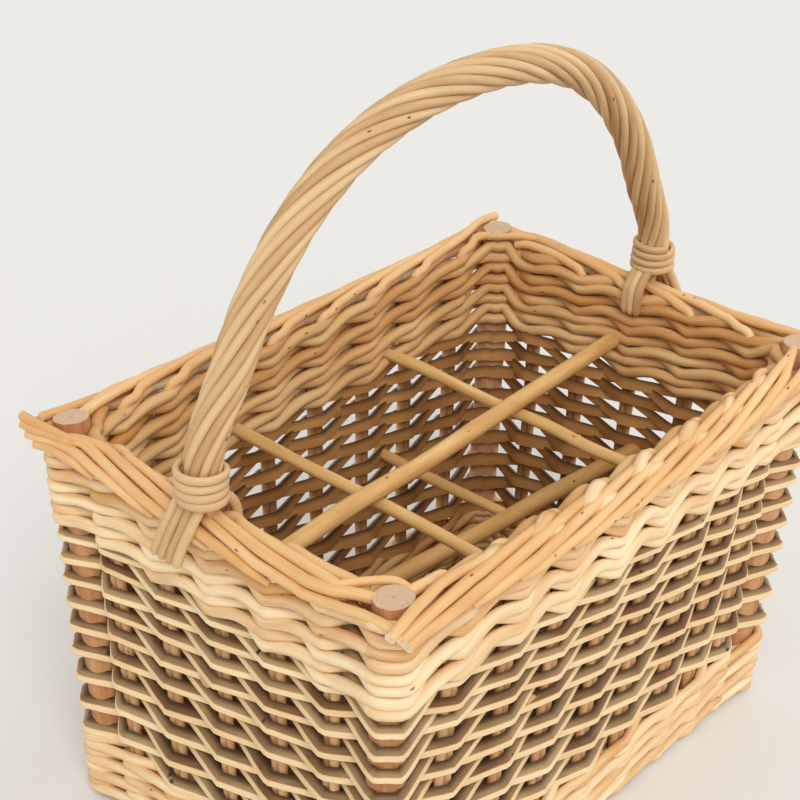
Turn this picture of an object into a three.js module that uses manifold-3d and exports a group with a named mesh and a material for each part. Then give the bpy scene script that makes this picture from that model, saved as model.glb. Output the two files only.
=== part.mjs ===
// A six-bottle willow carrier: corner posts, uprights, woven courses, dividers, base and a bow handle.
// Millimetres, +Z up, X along the basket, Y across it, origin under the middle of the base.
import * as THREE from "three";
import { mergeVertices } from "three/addons/utils/BufferGeometryUtils.js";
import Module from "manifold-3d";

// Driving sizes of the body: centre lines of the corner posts at rim height, and the lean of the walls.
const POST_X = 160;
const POST_Y = 103;
const RIM_Z = 230;
const LEAN = 8;
const POST_RADIUS = 8.75;
const POST_CUT_SLOPE = 1.6;
const WALL_OUT = 3;

// How far the middle of each wall's rim has sagged below its posts.
const FRONT_SAG = 10;
const RIGHT_SAG = 3;
const BACK_SAG = 3;
const LEFT_SAG = 4.25;

// Uprights: pairs of rods side by side, placed along each wall from its middle, in the weaving direction.
const LONG_UPRIGHTS = [-123, -82, -45, -6, 31, 71, 102, 132];
const SHORT_UPRIGHTS = [-76, -38, 0, 37, 72];
const PAIR_WIDTH = 9.4;
const PAIR_THICK = 5;
const FLAT_HALF = 6;
const WRAP_STEP = 52;
const UPRIGHT_FOOT_Z = 1.5;
const UPRIGHT_TOP_Z = 218;

// Split-willow courses of the middle band, alternating in front of and behind the uprights,
// beaten down closer and closer towards the top.
const WEAVE_COURSES = 18;
const WEAVE_FIRST_Z = 46;
const WEAVE_FIRST_PITCH = 8.9;
const WEAVE_LAST_PITCH = 5.8;
const WEAVE_OFFSET = 5.2;
const STRIP_THICK = 2.4;
const STRIP_TALL = 4.6;

// Waling: thick white rods, in front of two uprights and behind one.
const WALE_OFFSET = 7.4;
const WALE_ROD = 5.4;
const UPPER_WALE_Z = [178, 186.3, 194.6, 202.9, 211.2];
const LOWER_WALE_FIRST_Z = 5.5;
const LOWER_WALE_PITCH = 8.2;
const LOWER_WALES = 5;

// Border: the turned-down tops of the uprights, as a bundle of rods seen end on (outward, up).
const BORDER_REACH = 176;
const BORDER_STEPS = 12;
const BORDER_PROFILE = [
  [-4, 221.5], [-7, 225], [-6.6, 228.4], [-3.4, 229.6], [-1, 231], [1.6, 232.1], [4.2, 231],
  [7.2, 231.1], [9.8, 229.4], [11, 227], [14, 226], [14.7, 223], [14, 221.4], [15, 219.4],
  [14.2, 217.2], [11, 216.3], [4, 216.2], [-2, 217.5],
];

// Dividers: one long stick lying on two cross sticks, at two heights.
const LONG_STICK_RADIUS = 4.7;
const CROSS_STICK_RADIUS = 3.3;
const CROSS_STICKS_X = [-58, 60];
const LONG_STICK_SKEW = 11;
const TONGUE_WIDE = 6;
const TONGUE_THICK = 1.5;
const TONGUE_OUT = 7;
const TONGUE_ROOT = 8;
const STICK_STOP = 10.6;
const GRIDS = [
  { name: "upper", longZ: 190.45, crossZ: 182.15, skew: 1 },
  { name: "lower", longZ: 124.3, crossZ: 116, skew: -1 },
];

// Base: a woven mat on lengthwise sticks.
const BASE_TOP_Z = 15;
const BASE_HALF_X = 144.5;
const BASE_HALF_Y = 87.5;
const BASE_STICKS_Y = [-58.5, -19.5, 19, 55];
const BASE_STICK_RADIUS = 3.2;
const BASE_STICK_Z = 9.6;
const BASE_CORNER_NOTCH = 17;

// Handle: a bow that thins at its feet, with a tongue down each short wall, and a wound collar.
const HANDLE_HALF = [
  [170, 234], [170, 244], [168.6, 256], [163.5, 270], [153.5, 288],
  [137, 319], [113, 347.5], [82, 369], [44, 381.5],
];
const HANDLE_APEX_Z = 385.5;
const HANDLE_RADIUS = 10;
const HANDLE_FOOT_RADIUS = 8.3;
const HANDLE_SWELL_FROM = 0.06;
const HANDLE_SWELL_TO = 0.12;
const HANDLE_TONGUE_WIDE = 8;
const HANDLE_TONGUE_BEND_Z = [205, 212];
const HANDLE_TONGUE_LAP = [2, 4];
const HANDLE_STEPS = 30;
const COLLAR_TURNS = 3.5;
const COLLAR_PITCH = 4.1;
const COLLAR_RADIUS = 11.2;
const COLLAR_ROD = 3.6;
const COLLAR_FIRST_Z = 235.4;
const COLLAR_STEPS_PER_TURN = 16;
const OUTER_TAIL_RADIUS = 2.3;
const OUTER_TAIL_PATH = [[174.8, 229.4], [179.2, 224.8], [181.8, 216], [182.4, 205]];
const OUTER_TAIL_ROOTS = [-6.6, -2.2, 2.2, 6.6];
const OUTER_TAIL_TIPS = [-21, -14.5, -8, -1.5];
const INNER_TAIL_RADIUS = 2;
const INNER_TAIL_PATH = [[156.6, 230.5], [153.4, 224.5], [153.2, 212.5]];
const INNER_TAIL_SPREAD = [-3.6, 0, 3.6];

const CLEARANCE = 0.4;
const POST_SIDES = 12;
const ROUND_SIDES = 10;
const SLIM_SIDES = 6;

const wasm = await Module();
wasm.setup();

const basket = new THREE.Group();
const finishes = {
  honey: new THREE.MeshStandardMaterial({ color: 0xe2b877, roughness: 0.55, metalness: 0 }),
  white: new THREE.MeshStandardMaterial({ color: 0xecd9b0, roughness: 0.6, metalness: 0 }),
  split: new THREE.MeshStandardMaterial({ color: 0x8d7553, roughness: 0.7, metalness: 0 }),
  post: new THREE.MeshStandardMaterial({ color: 0xb9805a, roughness: 0.65, metalness: 0 }),
  buff: new THREE.MeshStandardMaterial({ color: 0xdcb876, roughness: 0.6, metalness: 0 }),
};

function addPiece(name, geometry, finish) {
  geometry.computeVertexNormals();
  const mesh = new THREE.Mesh(geometry, finish);
  mesh.name = name;
  basket.add(mesh);
}

// A closed solid through rings of equal counts, each counter-clockwise about the direction of travel.
function loft(rings, endless = false) {
  const count = rings[0].length;
  const index = [];
  const spans = endless ? rings.length : rings.length - 1;
  for (let r = 0; r < spans; r++) {
    const here = r * count;
    const next = ((r + 1) % rings.length) * count;
    for (let s = 0; s < count; s++) {
      const t = (s + 1) % count;
      index.push(here + s, here + t, next + t, here + s, next + t, next + s);
    }
  }
  if (!endless) {
    const last = (rings.length - 1) * count;
    for (let s = 1; s + 1 < count; s++) {
      index.push(0, s + 1, s, last, last + s, last + s + 1);
    }
  }
  const geometry = new THREE.BufferGeometry().setFromPoints(rings.flat());
  geometry.setIndex(index);
  return geometry;
}

// A round rod along points, with its section turned from a reference direction.
function rod(points, radiusAt, sides, reference) {
  const rings = points.map((point, i) => {
    const before = points[Math.max(i - 1, 0)];
    const after = points[Math.min(i + 1, points.length - 1)];
    const travel = after.clone().sub(before).normalize();
    const first = reference.clone().addScaledVector(travel, -reference.dot(travel)).normalize();
    const second = travel.clone().cross(first);
    const radius = radiusAt(i / (points.length - 1));
    return Array.from({ length: sides }, (_, s) => {
      const angle = (2 * Math.PI * s) / sides;
      return point.clone()
        .addScaledVector(first, radius * Math.cos(angle))
        .addScaledVector(second, radius * Math.sin(angle));
    });
  });
  return loft(rings);
}

// A bar whose level rings are rectangles or hexagons given as half sizes, at centres from bottom to top.
function levelBar(centres, outline) {
  return loft(centres.map((c) => outline.map(([x, y]) => new THREE.Vector3(c.x + x, c.y + y, c.z))));
}

function solidOf(geometry) {
  const bare = geometry.clone();
  bare.deleteAttribute("normal");
  bare.deleteAttribute("uv");
  const merged = mergeVertices(bare);
  return new wasm.Manifold(new wasm.Mesh({
    numProp: 3,
    vertProperties: new Float32Array(merged.attributes.position.array),
    triVerts: new Uint32Array(merged.index.array),
  }));
}

function geometryOf(solid) {
  const mesh = solid.getMesh();
  const geometry = new THREE.BufferGeometry();
  geometry.setAttribute("position", new THREE.BufferAttribute(mesh.vertProperties, 3));
  geometry.setIndex(new THREE.BufferAttribute(mesh.triVerts, 1));
  return geometry;
}

const union = (geometries) => geometries.map(solidOf).reduce((sum, solid) => sum.add(solid));
const up = new THREE.Vector3(0, 0, 1);
const across = new THREE.Vector3(0, 1, 0);

// How far the walls have come in at a height.
const inset = (z) => LEAN * (1 - z / RIM_Z);

// The four walls in weaving order: direction of travel, outside, distance out, half length, sag and uprights.
const walls = [
  {
    name: "front", travel: [1, 0], out: [0, -1],
    reach: POST_Y + WALL_OUT, half: POST_X, sag: FRONT_SAG, uprights: LONG_UPRIGHTS,
  },
  {
    name: "right", travel: [0, 1], out: [1, 0],
    reach: POST_X + WALL_OUT, half: POST_Y, sag: RIGHT_SAG, uprights: SHORT_UPRIGHTS,
  },
  {
    name: "back", travel: [-1, 0], out: [0, 1],
    reach: POST_Y + WALL_OUT, half: POST_X, sag: BACK_SAG, uprights: LONG_UPRIGHTS,
  },
  {
    name: "left", travel: [0, -1], out: [-1, 0],
    reach: POST_X + WALL_OUT, half: POST_Y, sag: LEFT_SAG, uprights: SHORT_UPRIGHTS,
  },
];
const [front, right, back, left] = walls;

// How far a wall has sagged between its posts, at a place along it and a height.
function sagAt(wall, along, z) {
  const share = Math.max(0, 1 - (along / wall.half) ** 2);
  return (wall.sag * share * z) / RIM_Z;
}

// A point of a wall: along it at rim height, outward from the line of its uprights, and up.
function wallPoint(wall, along, outward, z) {
  const o = wall.reach - inset(z) + outward;
  const a = along * (1 - inset(z) / wall.half);
  return new THREE.Vector3(
    wall.travel[0] * a + wall.out[0] * o,
    wall.travel[1] * a + wall.out[1] * o,
    z - sagAt(wall, along, z),
  );
}

// The corner posts, each where the wall of the same number begins.
const corners = [
  { name: "front_left", x: -1, y: -1 },
  { name: "front_right", x: 1, y: -1 },
  { name: "back_right", x: 1, y: 1 },
  { name: "back_left", x: -1, y: 1 },
];
const postCentre = (corner, z) =>
  new THREE.Vector3(corner.x * (POST_X - inset(z)), corner.y * (POST_Y - inset(z)), z);

function circleOutline(radius, sides) {
  return Array.from({ length: sides }, (_, s) => {
    const angle = (2 * Math.PI * (s + 0.5)) / sides;
    return [radius * Math.cos(angle), radius * Math.sin(angle)];
  });
}

function postRound(corner, radius, fromZ, toZ) {
  const outline = circleOutline(radius, POST_SIDES);
  return levelBar([postCentre(corner, fromZ), postCentre(corner, toZ)], outline);
}

const postSpaces = corners.map((corner) =>
  solidOf(postRound(corner, POST_RADIUS + CLEARANCE, -BASE_TOP_Z, RIM_Z + BASE_TOP_Z)));

// Corner posts, cut off with a small slope that falls outward.
corners.forEach((corner) => {
  const outline = circleOutline(POST_RADIUS, POST_SIDES);
  const foot = postCentre(corner, 0);
  const top = postCentre(corner, RIM_Z);
  const rings = [foot, top].map((c) => outline.map(([x, y]) => {
    const fall = c === top ? (POST_CUT_SLOPE * (corner.x * x + corner.y * y)) / (2 * POST_RADIUS) : 0;
    return new THREE.Vector3(c.x + x, c.y + y, c.z - fall);
  }));
  addPiece(`corner_post_${corner.name}`, loft(rings), finishes.post);
});

// A course round the basket: a point at each upright, a short flat at those beside a post,
// and an arc or one inner point at each post.
function coursePath(z, isInFront, offset, halfThick) {
  const points = [];
  let upright = 0;
  walls.forEach((wall, w) => {
    const before = walls[(w + 3) % 4];
    const post = postCentre(corners[w], z);
    const clear = POST_RADIUS + halfThick + 2 * CLEARANCE;
    const r = clear / Math.cos(THREE.MathUtils.degToRad(WRAP_STEP / 2));
    const turns = isInFront(upright) ? [-1.5, -0.5, 0.5, 1.5].map((n) => 45 + n * WRAP_STEP) : [225];
    turns.forEach((degrees) => {
      const angle = THREE.MathUtils.degToRad(degrees);
      points.push(new THREE.Vector3(
        post.x + r * (before.out[0] * Math.cos(angle) + wall.out[0] * Math.sin(angle)),
        post.y + r * (before.out[1] * Math.cos(angle) + wall.out[1] * Math.sin(angle)),
        z,
      ));
    });
    upright += 1;
    wall.uprights.forEach((along, i) => {
      const besidePost = i === 0 || i === wall.uprights.length - 1;
      const shifts = besidePost ? [-FLAT_HALF, FLAT_HALF] : [0];
      const side = isInFront(upright) ? offset : -offset;
      shifts.forEach((shift) => points.push(wallPoint(wall, along + shift, side, z)));
      upright += 1;
    });
  });
  return points;
}

// The closed ring of a course, with mitred corners; section gives (outward, up) points.
function courseRing(points, section) {
  const rings = points.map((point, i) => {
    const before = points[(i + points.length - 1) % points.length];
    const after = points[(i + 1) % points.length];
    const outOf = (from, to) => to.clone().sub(from).setZ(0).normalize().cross(up);
    const n1 = outOf(before, point);
    const n2 = outOf(point, after);
    const mitre = n1.clone().add(n2).divideScalar(1 + n1.dot(n2));
    return section.map(([o, h]) => point.clone().addScaledVector(mitre, o).addScaledVector(up, h));
  });
  return loft(rings, true);
}

// A four-sided section for a course, counter-clockwise about the direction of weaving.
const flatSection = (thick, tall) => [
  [-thick / 2, -tall / 2], [-thick / 2, tall / 2], [thick / 2, tall / 2], [thick / 2, -tall / 2],
];

const weaveTighter = (WEAVE_FIRST_PITCH - WEAVE_LAST_PITCH) / (WEAVE_COURSES - 2);
const weaveZ = Array.from({ length: WEAVE_COURSES }, (_, c) =>
  WEAVE_FIRST_Z + c * WEAVE_FIRST_PITCH - (weaveTighter * c * (c - 1)) / 2);
weaveZ.forEach((z, c) => {
  const path = coursePath(z, (k) => (k + c) % 2 === 0, WEAVE_OFFSET, STRIP_THICK / 2);
  const number = String(c + 1).padStart(2, "0");
  const ring = courseRing(path, flatSection(STRIP_THICK, STRIP_TALL));
  addPiece(`weave_course_${number}`, ring, finishes.split);
});

const lowerWaleZ = Array.from({ length: LOWER_WALES }, (_, i) => LOWER_WALE_FIRST_Z + i * LOWER_WALE_PITCH);
[["lower_wale", lowerWaleZ], ["upper_wale", UPPER_WALE_Z]].forEach(([name, heights]) => {
  heights.forEach((z, c) => {
    const path = coursePath(z, (k) => (k + c) % 3 !== 2, WALE_OFFSET, WALE_ROD / 2);
    addPiece(`${name}_${c + 1}`, courseRing(path, flatSection(WALE_ROD, WALE_ROD)), finishes.white);
  });
});

// The tongue of the handle at one end (+1 or -1), from the foot of the bow down the wall.
function handleTongue(end, extra) {
  const halfX = PAIR_THICK / 2 + extra;
  const halfY = HANDLE_TONGUE_WIDE / 2 + extra;
  const outline = [[-halfX, -halfY], [halfX, -halfY], [halfX, halfY], [-halfX, halfY]];
  const wallX = (z) => POST_X + WALL_OUT - inset(z);
  const [footX, footZ] = HANDLE_HALF[0];
  const [below, above] = HANDLE_TONGUE_LAP;
  const inWall = [UPRIGHT_FOOT_Z, ...HANDLE_TONGUE_BEND_Z].map((z) => [wallX(z), z]);
  const centres = [...inWall, [footX, footZ - below], [footX, footZ + above]];
  return levelBar(centres.map(([x, z]) => new THREE.Vector3(end * x, 0, z)), outline);
}

// Uprights and border of one wall, as one piece, because the border is the uprights' own tops.
const pairOutline = [[-0.5, 0], [-0.26, -0.5], [0.26, -0.5], [0.5, 0], [0.26, 0.5], [-0.26, 0.5]];
function uprightBar(wall, along) {
  const outline = pairOutline.map(([a, o]) => [
    wall.travel[0] * a * PAIR_WIDTH + wall.out[0] * -o * PAIR_THICK,
    wall.travel[1] * a * PAIR_WIDTH + wall.out[1] * -o * PAIR_THICK,
  ]);
  const centres = [UPRIGHT_FOOT_Z, UPRIGHT_TOP_Z].map((z) => wallPoint(wall, along, 0, z));
  return levelBar(centres, outline);
}

function borderBar(wall, reach) {
  const rings = Array.from({ length: BORDER_STEPS + 1 }, (_, i) => {
    const along = THREE.MathUtils.lerp(-reach, reach, i / BORDER_STEPS);
    return BORDER_PROFILE.map(([outward, z]) => wallPoint(wall, along, outward, z));
  });
  return loft(rings);
}

const borderInside = Math.min(...BORDER_PROFILE.map(([outward]) => outward));
walls.forEach((wall) => {
  const isShort = wall.uprights === SHORT_UPRIGHTS;
  const shortReach = POST_Y + WALL_OUT + borderInside - CLEARANCE;
  const bars = wall.uprights
    .filter((along) => !(isShort && along === 0))
    .map((along) => uprightBar(wall, along));
  let comb = union([borderBar(wall, isShort ? shortReach : BORDER_REACH), ...bars]);
  postSpaces.forEach((space) => {
    comb = comb.subtract(space);
  });
  if (isShort) {
    comb = comb.subtract(solidOf(handleTongue(wall.out[0], CLEARANCE)));
  }
  addPiece(`${wall.name}_uprights_and_border`, geometryOf(comb), finishes.honey);
});

// The gap between two courses of a wall that is nearest to a height.
const courseZ = [...lowerWaleZ, ...weaveZ, ...UPPER_WALE_Z];
function nearestGap(wall, along, z) {
  const gaps = courseZ.slice(1).map((upper, i) => {
    const middle = (courseZ[i] + upper) / 2;
    return middle - sagAt(wall, along, middle);
  });
  return gaps.reduce((best, gap) => (Math.abs(gap - z) < Math.abs(best - z) ? gap : best));
}

// A stick with a thin tongue at each end that is pushed between two courses of the wall.
function dividerStick(from, to, radius, tongueZ, reach) {
  const travel = to.clone().sub(from).normalize();
  const side = up.clone().cross(travel).multiplyScalar(TONGUE_WIDE / 2);
  const lift = up.clone().multiplyScalar(TONGUE_THICK / 2);
  const spans = [
    { end: from, gone: [-reach, TONGUE_ROOT], z: tongueZ[0] },
    { end: to, gone: [-TONGUE_ROOT, reach], z: tongueZ[1] },
  ];
  const tongues = spans.map((span) => loft(span.gone.map((gone) => {
    const middle = span.end.clone().addScaledVector(travel, gone).setZ(span.z);
    return [[1, -1], [1, 1], [-1, 1], [-1, -1]].map(([s, l]) =>
      middle.clone().addScaledVector(side, s).addScaledVector(lift, l));
  })));
  const round = rod([from, to], () => radius, ROUND_SIDES, up);
  return geometryOf(union([round, ...tongues]));
}

const tongueReach = STICK_STOP + TONGUE_OUT;
GRIDS.forEach((grid) => {
  const endX = POST_X + WALL_OUT - inset(grid.longZ) - STICK_STOP;
  const skew = grid.skew * LONG_STICK_SKEW;
  const long = dividerStick(
    new THREE.Vector3(-endX, -skew, grid.longZ),
    new THREE.Vector3(endX, skew, grid.longZ),
    LONG_STICK_RADIUS,
    [nearestGap(left, skew, grid.longZ), nearestGap(right, skew, grid.longZ)],
    tongueReach,
  );
  addPiece(`${grid.name}_long_divider`, long, finishes.buff);
  const endY = POST_Y + WALL_OUT - inset(grid.crossZ) - STICK_STOP;
  CROSS_STICKS_X.forEach((x, i) => {
    const cross = dividerStick(
      new THREE.Vector3(x, -endY, grid.crossZ),
      new THREE.Vector3(x, endY, grid.crossZ),
      CROSS_STICK_RADIUS,
      [nearestGap(front, x, grid.crossZ), nearestGap(back, -x, grid.crossZ)],
      tongueReach,
    );
    addPiece(`${grid.name}_cross_divider_${i + 1}`, cross, finishes.buff);
  });
});

// The base mat, with a channel for each base stick and its corners cut back round the posts.
const matOutline = [
  [-BASE_HALF_X, -BASE_HALF_Y], [BASE_HALF_X, -BASE_HALF_Y],
  [BASE_HALF_X, BASE_HALF_Y], [-BASE_HALF_X, BASE_HALF_Y],
];
let mat = solidOf(levelBar([new THREE.Vector3(0, 0, 0), new THREE.Vector3(0, 0, BASE_TOP_Z)], matOutline));
corners.forEach((corner) => {
  mat = mat.subtract(solidOf(postRound(corner, BASE_CORNER_NOTCH, -BASE_TOP_Z, 2 * BASE_TOP_Z)));
});
BASE_STICKS_Y.forEach((y, i) => {
  const stop = BASE_HALF_X - CLEARANCE;
  const ends = (x) => [new THREE.Vector3(-x, y, BASE_STICK_Z), new THREE.Vector3(x, y, BASE_STICK_Z)];
  const channel = rod(ends(BASE_HALF_X + CLEARANCE), () => BASE_STICK_RADIUS + CLEARANCE, ROUND_SIDES, up);
  mat = mat.subtract(solidOf(channel));
  const [from, to] = ends(stop);
  const tongueZ = [nearestGap(left, -y, BASE_STICK_Z), nearestGap(right, y, BASE_STICK_Z)];
  const stick = dividerStick(from, to, BASE_STICK_RADIUS, tongueZ, tongueReach);
  addPiece(`base_stick_${i + 1}`, stick, finishes.post);
});
addPiece("base_weave", geometryOf(mat), finishes.split);

// The bow of the handle with its two tongues.
const mirrored = HANDLE_HALF.map(([x, z]) => [-x, z]);
const bowPoints = [...mirrored, [0, HANDLE_APEX_Z], ...HANDLE_HALF.slice().reverse()];
const bowLine = new THREE.CatmullRomCurve3(bowPoints.map(([x, z]) => new THREE.Vector3(x, 0, z)));
const bowRadius = (t) => {
  const swell = THREE.MathUtils.smoothstep(Math.min(t, 1 - t), HANDLE_SWELL_FROM, HANDLE_SWELL_TO);
  return THREE.MathUtils.lerp(HANDLE_FOOT_RADIUS, HANDLE_RADIUS, swell);
};
const bow = rod(bowLine.getSpacedPoints(HANDLE_STEPS), bowRadius, POST_SIDES, across);
addPiece("handle_bow", geometryOf(union([bow, handleTongue(1, 0), handleTongue(-1, 0)])), finishes.white);

// A collar wound round the foot of the handle: one rod in a helix, its ends straight.
function collarPath(end) {
  const steps = Math.round(COLLAR_TURNS * COLLAR_STEPS_PER_TURN);
  const [footX] = HANDLE_HALF[0];
  const start = end > 0 ? Math.PI : 0;
  const path = [];
  for (let i = 0; i <= steps; i++) {
    const turn = i / COLLAR_STEPS_PER_TURN;
    const angle = start + 2 * Math.PI * turn;
    path.push(new THREE.Vector3(
      end * footX + COLLAR_RADIUS * Math.cos(angle),
      COLLAR_RADIUS * Math.sin(angle),
      COLLAR_FIRST_Z + turn * COLLAR_PITCH,
    ));
  }
  const straight = (tip, inner) => tip.clone().add(tip.clone().sub(inner).setLength(COLLAR_ROD));
  return [straight(path[0], path[1]), ...path, straight(path[steps], path[steps - 1])];
}

function leastGap(path) {
  let least = Infinity;
  path.forEach((a, i) => {
    path.slice(i + COLLAR_STEPS_PER_TURN / 2).forEach((b) => {
      least = Math.min(least, a.distanceTo(b) - COLLAR_ROD);
    });
  });
  return least;
}

// Rod ends that splay out of the collar: outside over the border, and inside down the wall.
function tails(end, path, roots, tips, radius) {
  return geometryOf(union(roots.map((root, i) => {
    const points = path.map(([x, z], p) => {
      const y = THREE.MathUtils.lerp(root, tips[i], p / (path.length - 1));
      return new THREE.Vector3(end * x, end * y, z);
    });
    return rod(points, () => radius, SLIM_SIDES, across);
  })));
}

[["left", -1], ["right", 1]].forEach(([name, end]) => {
  const path = collarPath(end);
  console.log(`handle_collar_${name}: least gap between turns ${leastGap(path).toFixed(2)} mm`);
  addPiece(`handle_collar_${name}`, rod(path, () => COLLAR_ROD / 2, SLIM_SIDES, up), finishes.white);
  const outer = tails(end, OUTER_TAIL_PATH, OUTER_TAIL_ROOTS, OUTER_TAIL_TIPS, OUTER_TAIL_RADIUS);
  addPiece(`handle_outer_tails_${name}`, outer, finishes.white);
  const inner = tails(end, INNER_TAIL_PATH, INNER_TAIL_SPREAD, INNER_TAIL_SPREAD, INNER_TAIL_RADIUS);
  addPiece(`handle_inner_tails_${name}`, inner, finishes.white);
});

export default basket;
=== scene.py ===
"""Looks of a hand-woven willow bottle basket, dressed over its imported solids.

Each piece stands where its solid stands. Sizes are written in millimetres, and MM turns them into metres.
Every rod is a path with a thickness, and one geometry node tree gives all of them their skin.
"""

import logging
import math
import random
from abc import ABC, abstractmethod
from collections.abc import Sequence
from dataclasses import asdict, dataclass, field
from enum import Enum

import bpy
from mathutils import Matrix, Vector


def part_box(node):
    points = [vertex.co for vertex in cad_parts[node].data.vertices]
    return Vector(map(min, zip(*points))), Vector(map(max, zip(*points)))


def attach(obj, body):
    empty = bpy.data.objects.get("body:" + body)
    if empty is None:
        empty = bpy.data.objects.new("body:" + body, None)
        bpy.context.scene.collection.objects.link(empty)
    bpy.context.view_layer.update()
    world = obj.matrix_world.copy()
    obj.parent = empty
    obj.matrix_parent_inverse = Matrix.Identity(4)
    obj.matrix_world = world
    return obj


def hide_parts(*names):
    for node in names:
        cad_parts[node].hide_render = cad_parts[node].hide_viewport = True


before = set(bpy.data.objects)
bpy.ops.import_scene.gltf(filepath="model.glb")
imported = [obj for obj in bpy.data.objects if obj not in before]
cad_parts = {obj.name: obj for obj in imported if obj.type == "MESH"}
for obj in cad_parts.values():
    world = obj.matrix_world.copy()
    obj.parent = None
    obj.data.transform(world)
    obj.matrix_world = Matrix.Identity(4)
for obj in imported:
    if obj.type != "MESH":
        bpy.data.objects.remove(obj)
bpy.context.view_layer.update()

LOG = logging.getLogger("bottle_basket")
MM = 0.001
BODY = "root"

Tint = tuple[float, float, float, float]
Pair = tuple[float, float]
Step = tuple[float, float, float]
Wire = bpy.types.NodeSocket
Wires = dict[str | int, object]
Outputs = bpy.types.bpy_prop_collection


def tint(red: int, green: int, blue: int) -> Tint:
    """A colour as the eye sees it on a screen, turned into the linear colour that shaders take.

    Args:
        red: Red from 0 to 255.
        green: Green from 0 to 255.
        blue: Blue from 0 to 255.

    Returns:
        Linear red, green, blue and a full alpha.
    """
    linear = []
    for level in (red, green, blue):
        share = level / 255
        linear.append(share / 12.92 if share <= 0.04045 else ((share + 0.055) / 1.055) ** 2.4)
    return linear[0], linear[1], linear[2], 1.0


def show(name: str, data: bpy.types.ID) -> bpy.types.Object:
    """A new object in the scene for a mesh, a curve, a lamp or a camera.

    Args:
        name: The object's name.
        data: What it shows.

    Returns:
        The object, at the origin.
    """
    shown = bpy.data.objects.new(name, data)
    bpy.context.scene.collection.objects.link(shown)
    return shown


def middle_of(node: str) -> Vector:
    """The middle of a solid's box in millimetres."""
    low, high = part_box(node)
    return (low + high) / (2 * MM)


class Graph:
    """Adds nodes to a node tree and wires them as they are added."""

    def __init__(self, tree: bpy.types.NodeTree) -> None:
        """Works on one tree."""
        self.tree = tree

    def node(self, kind: str, wires: Wires | None = None, **settings: object) -> bpy.types.Node:
        """One node, with its settings made before its inputs are filled.

        Args:
            kind: Blender's name for the node's type.
            wires: A value or another node's output for each input, by the input's name or place.
            settings: The node's own properties.

        Returns:
            The new node.
        """
        made = self.tree.nodes.new(kind)
        for name, value in settings.items():
            setattr(made, name, value)
        for key, value in (wires or {}).items():
            socket = made.inputs[key] if isinstance(key, int) else self._input(made, key)
            if isinstance(value, bpy.types.NodeSocket):
                self.tree.links.new(value, socket)
            else:
                socket.default_value = value
        return made

    def wire(self, kind: str, wires: Wires | None = None, out: str = "", **settings: object) -> Wire:
        """A new node's first output that is in use, or the one that is named."""
        made = self.node(kind, wires, **settings)
        return next(s for s in made.outputs if s.enabled and (not out or s.name == out))

    def group(self, tree: bpy.types.NodeTree, wires: Wires) -> Outputs:
        """What a shader group gives."""
        return self.node("ShaderNodeGroup", wires, node_tree=tree).outputs

    def math(self, operation: str, first: object, second: object = 0.0, third: object = 0.0) -> Wire:
        """One sum on numbers or on other nodes' outputs."""
        return self.wire("ShaderNodeMath", {0: first, 1: second, 2: third}, operation=operation)

    def vector(self, operation: str, first: object, second: object) -> Wire:
        """One sum on two vectors, or on a vector and the number that scales it."""
        place = "Scale" if operation == "SCALE" else 1
        return self.wire("ShaderNodeVectorMath", {0: first, place: second}, operation=operation)

    def point(self, x: object = 0.0, y: object = 0.0, z: object = 0.0) -> Wire:
        """A vector from three numbers."""
        return self.wire("ShaderNodeCombineXYZ", {"X": x, "Y": y, "Z": z})

    def parts(self, vector: Wire) -> Outputs:
        """The three numbers of a vector."""
        return self.node("ShaderNodeSeparateXYZ", {"Vector": vector}).outputs

    def noise(self, place: Wire, scale: float, detail: float, roughness: float = 0.5) -> Wire:
        """Soft noise from 0 to 1 at a place."""
        wires = {"Vector": place, "Scale": scale, "Detail": detail, "Roughness": roughness}
        return self.wire("ShaderNodeTexNoise", wires)

    def blend(self, share: object, first: object, second: object) -> Wire:
        """Two colours mixed, with that share of the second."""
        wires = {"Factor": share, 6: first, 7: second}
        return self.wire("ShaderNodeMix", wires, out="Result", data_type="RGBA", clamp_factor=True)

    def ramp(self, value: object, low: float, high: float, start: float = 0.0, end: float = 1.0) -> Wire:
        """A number taken smoothly from the range of low to high to that of start to end."""
        wires = {0: value, 1: low, 2: high, 3: start, 4: end}
        return self.wire("ShaderNodeMapRange", wires, interpolation_type="SMOOTHSTEP")

    @staticmethod
    def _input(node: bpy.types.Node, name: str) -> Wire:
        """The node's first input of that name that is in use."""
        return next(s for s in node.inputs if s.enabled and s.name == name)


def new_tree(name: str, kind: str, takes: dict[str, str], gives: dict[str, str]) -> tuple[Graph, Outputs]:
    """An empty node group with named sockets.

    Args:
        name: The group's name.
        kind: Geometry or Shader.
        takes: The type of each input, by its name.
        gives: The type of each output, by its name.

    Returns:
        A graph on the new group, and what comes in at its inputs.
    """
    tree = bpy.data.node_groups.new(name, f"{kind}NodeTree")
    for way, sockets in (("INPUT", takes), ("OUTPUT", gives)):
        for label, what in sockets.items():
            tree.interface.new_socket(label, in_out=way, socket_type=f"NodeSocket{what}")
    g = Graph(tree)
    return g, g.node("NodeGroupInput").outputs


class Wall(Enum):
    """The four walls, in the order that the weaver goes round them."""

    FRONT = 0
    RIGHT = 1
    BACK = 2
    LEFT = 3

    @property
    def travel(self) -> Vector:
        """The way the weaver goes along this wall."""
        turn = self.value * math.pi / 2
        return Vector((round(math.cos(turn)), round(math.sin(turn)), 0))

    @property
    def outward(self) -> Vector:
        """The way this wall faces."""
        turn = self.value * math.pi / 2
        return Vector((round(math.sin(turn)), -round(math.cos(turn)), 0))

    @property
    def is_long(self) -> bool:
        """True for the two long walls."""
        return self.value % 2 == 0

    @property
    def before(self) -> "Wall":
        """The wall that the weaver comes from."""
        return Wall((self.value + 3) % 4)

    @property
    def label(self) -> str:
        """The wall's name in the solids' names."""
        return self.name.lower()


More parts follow.
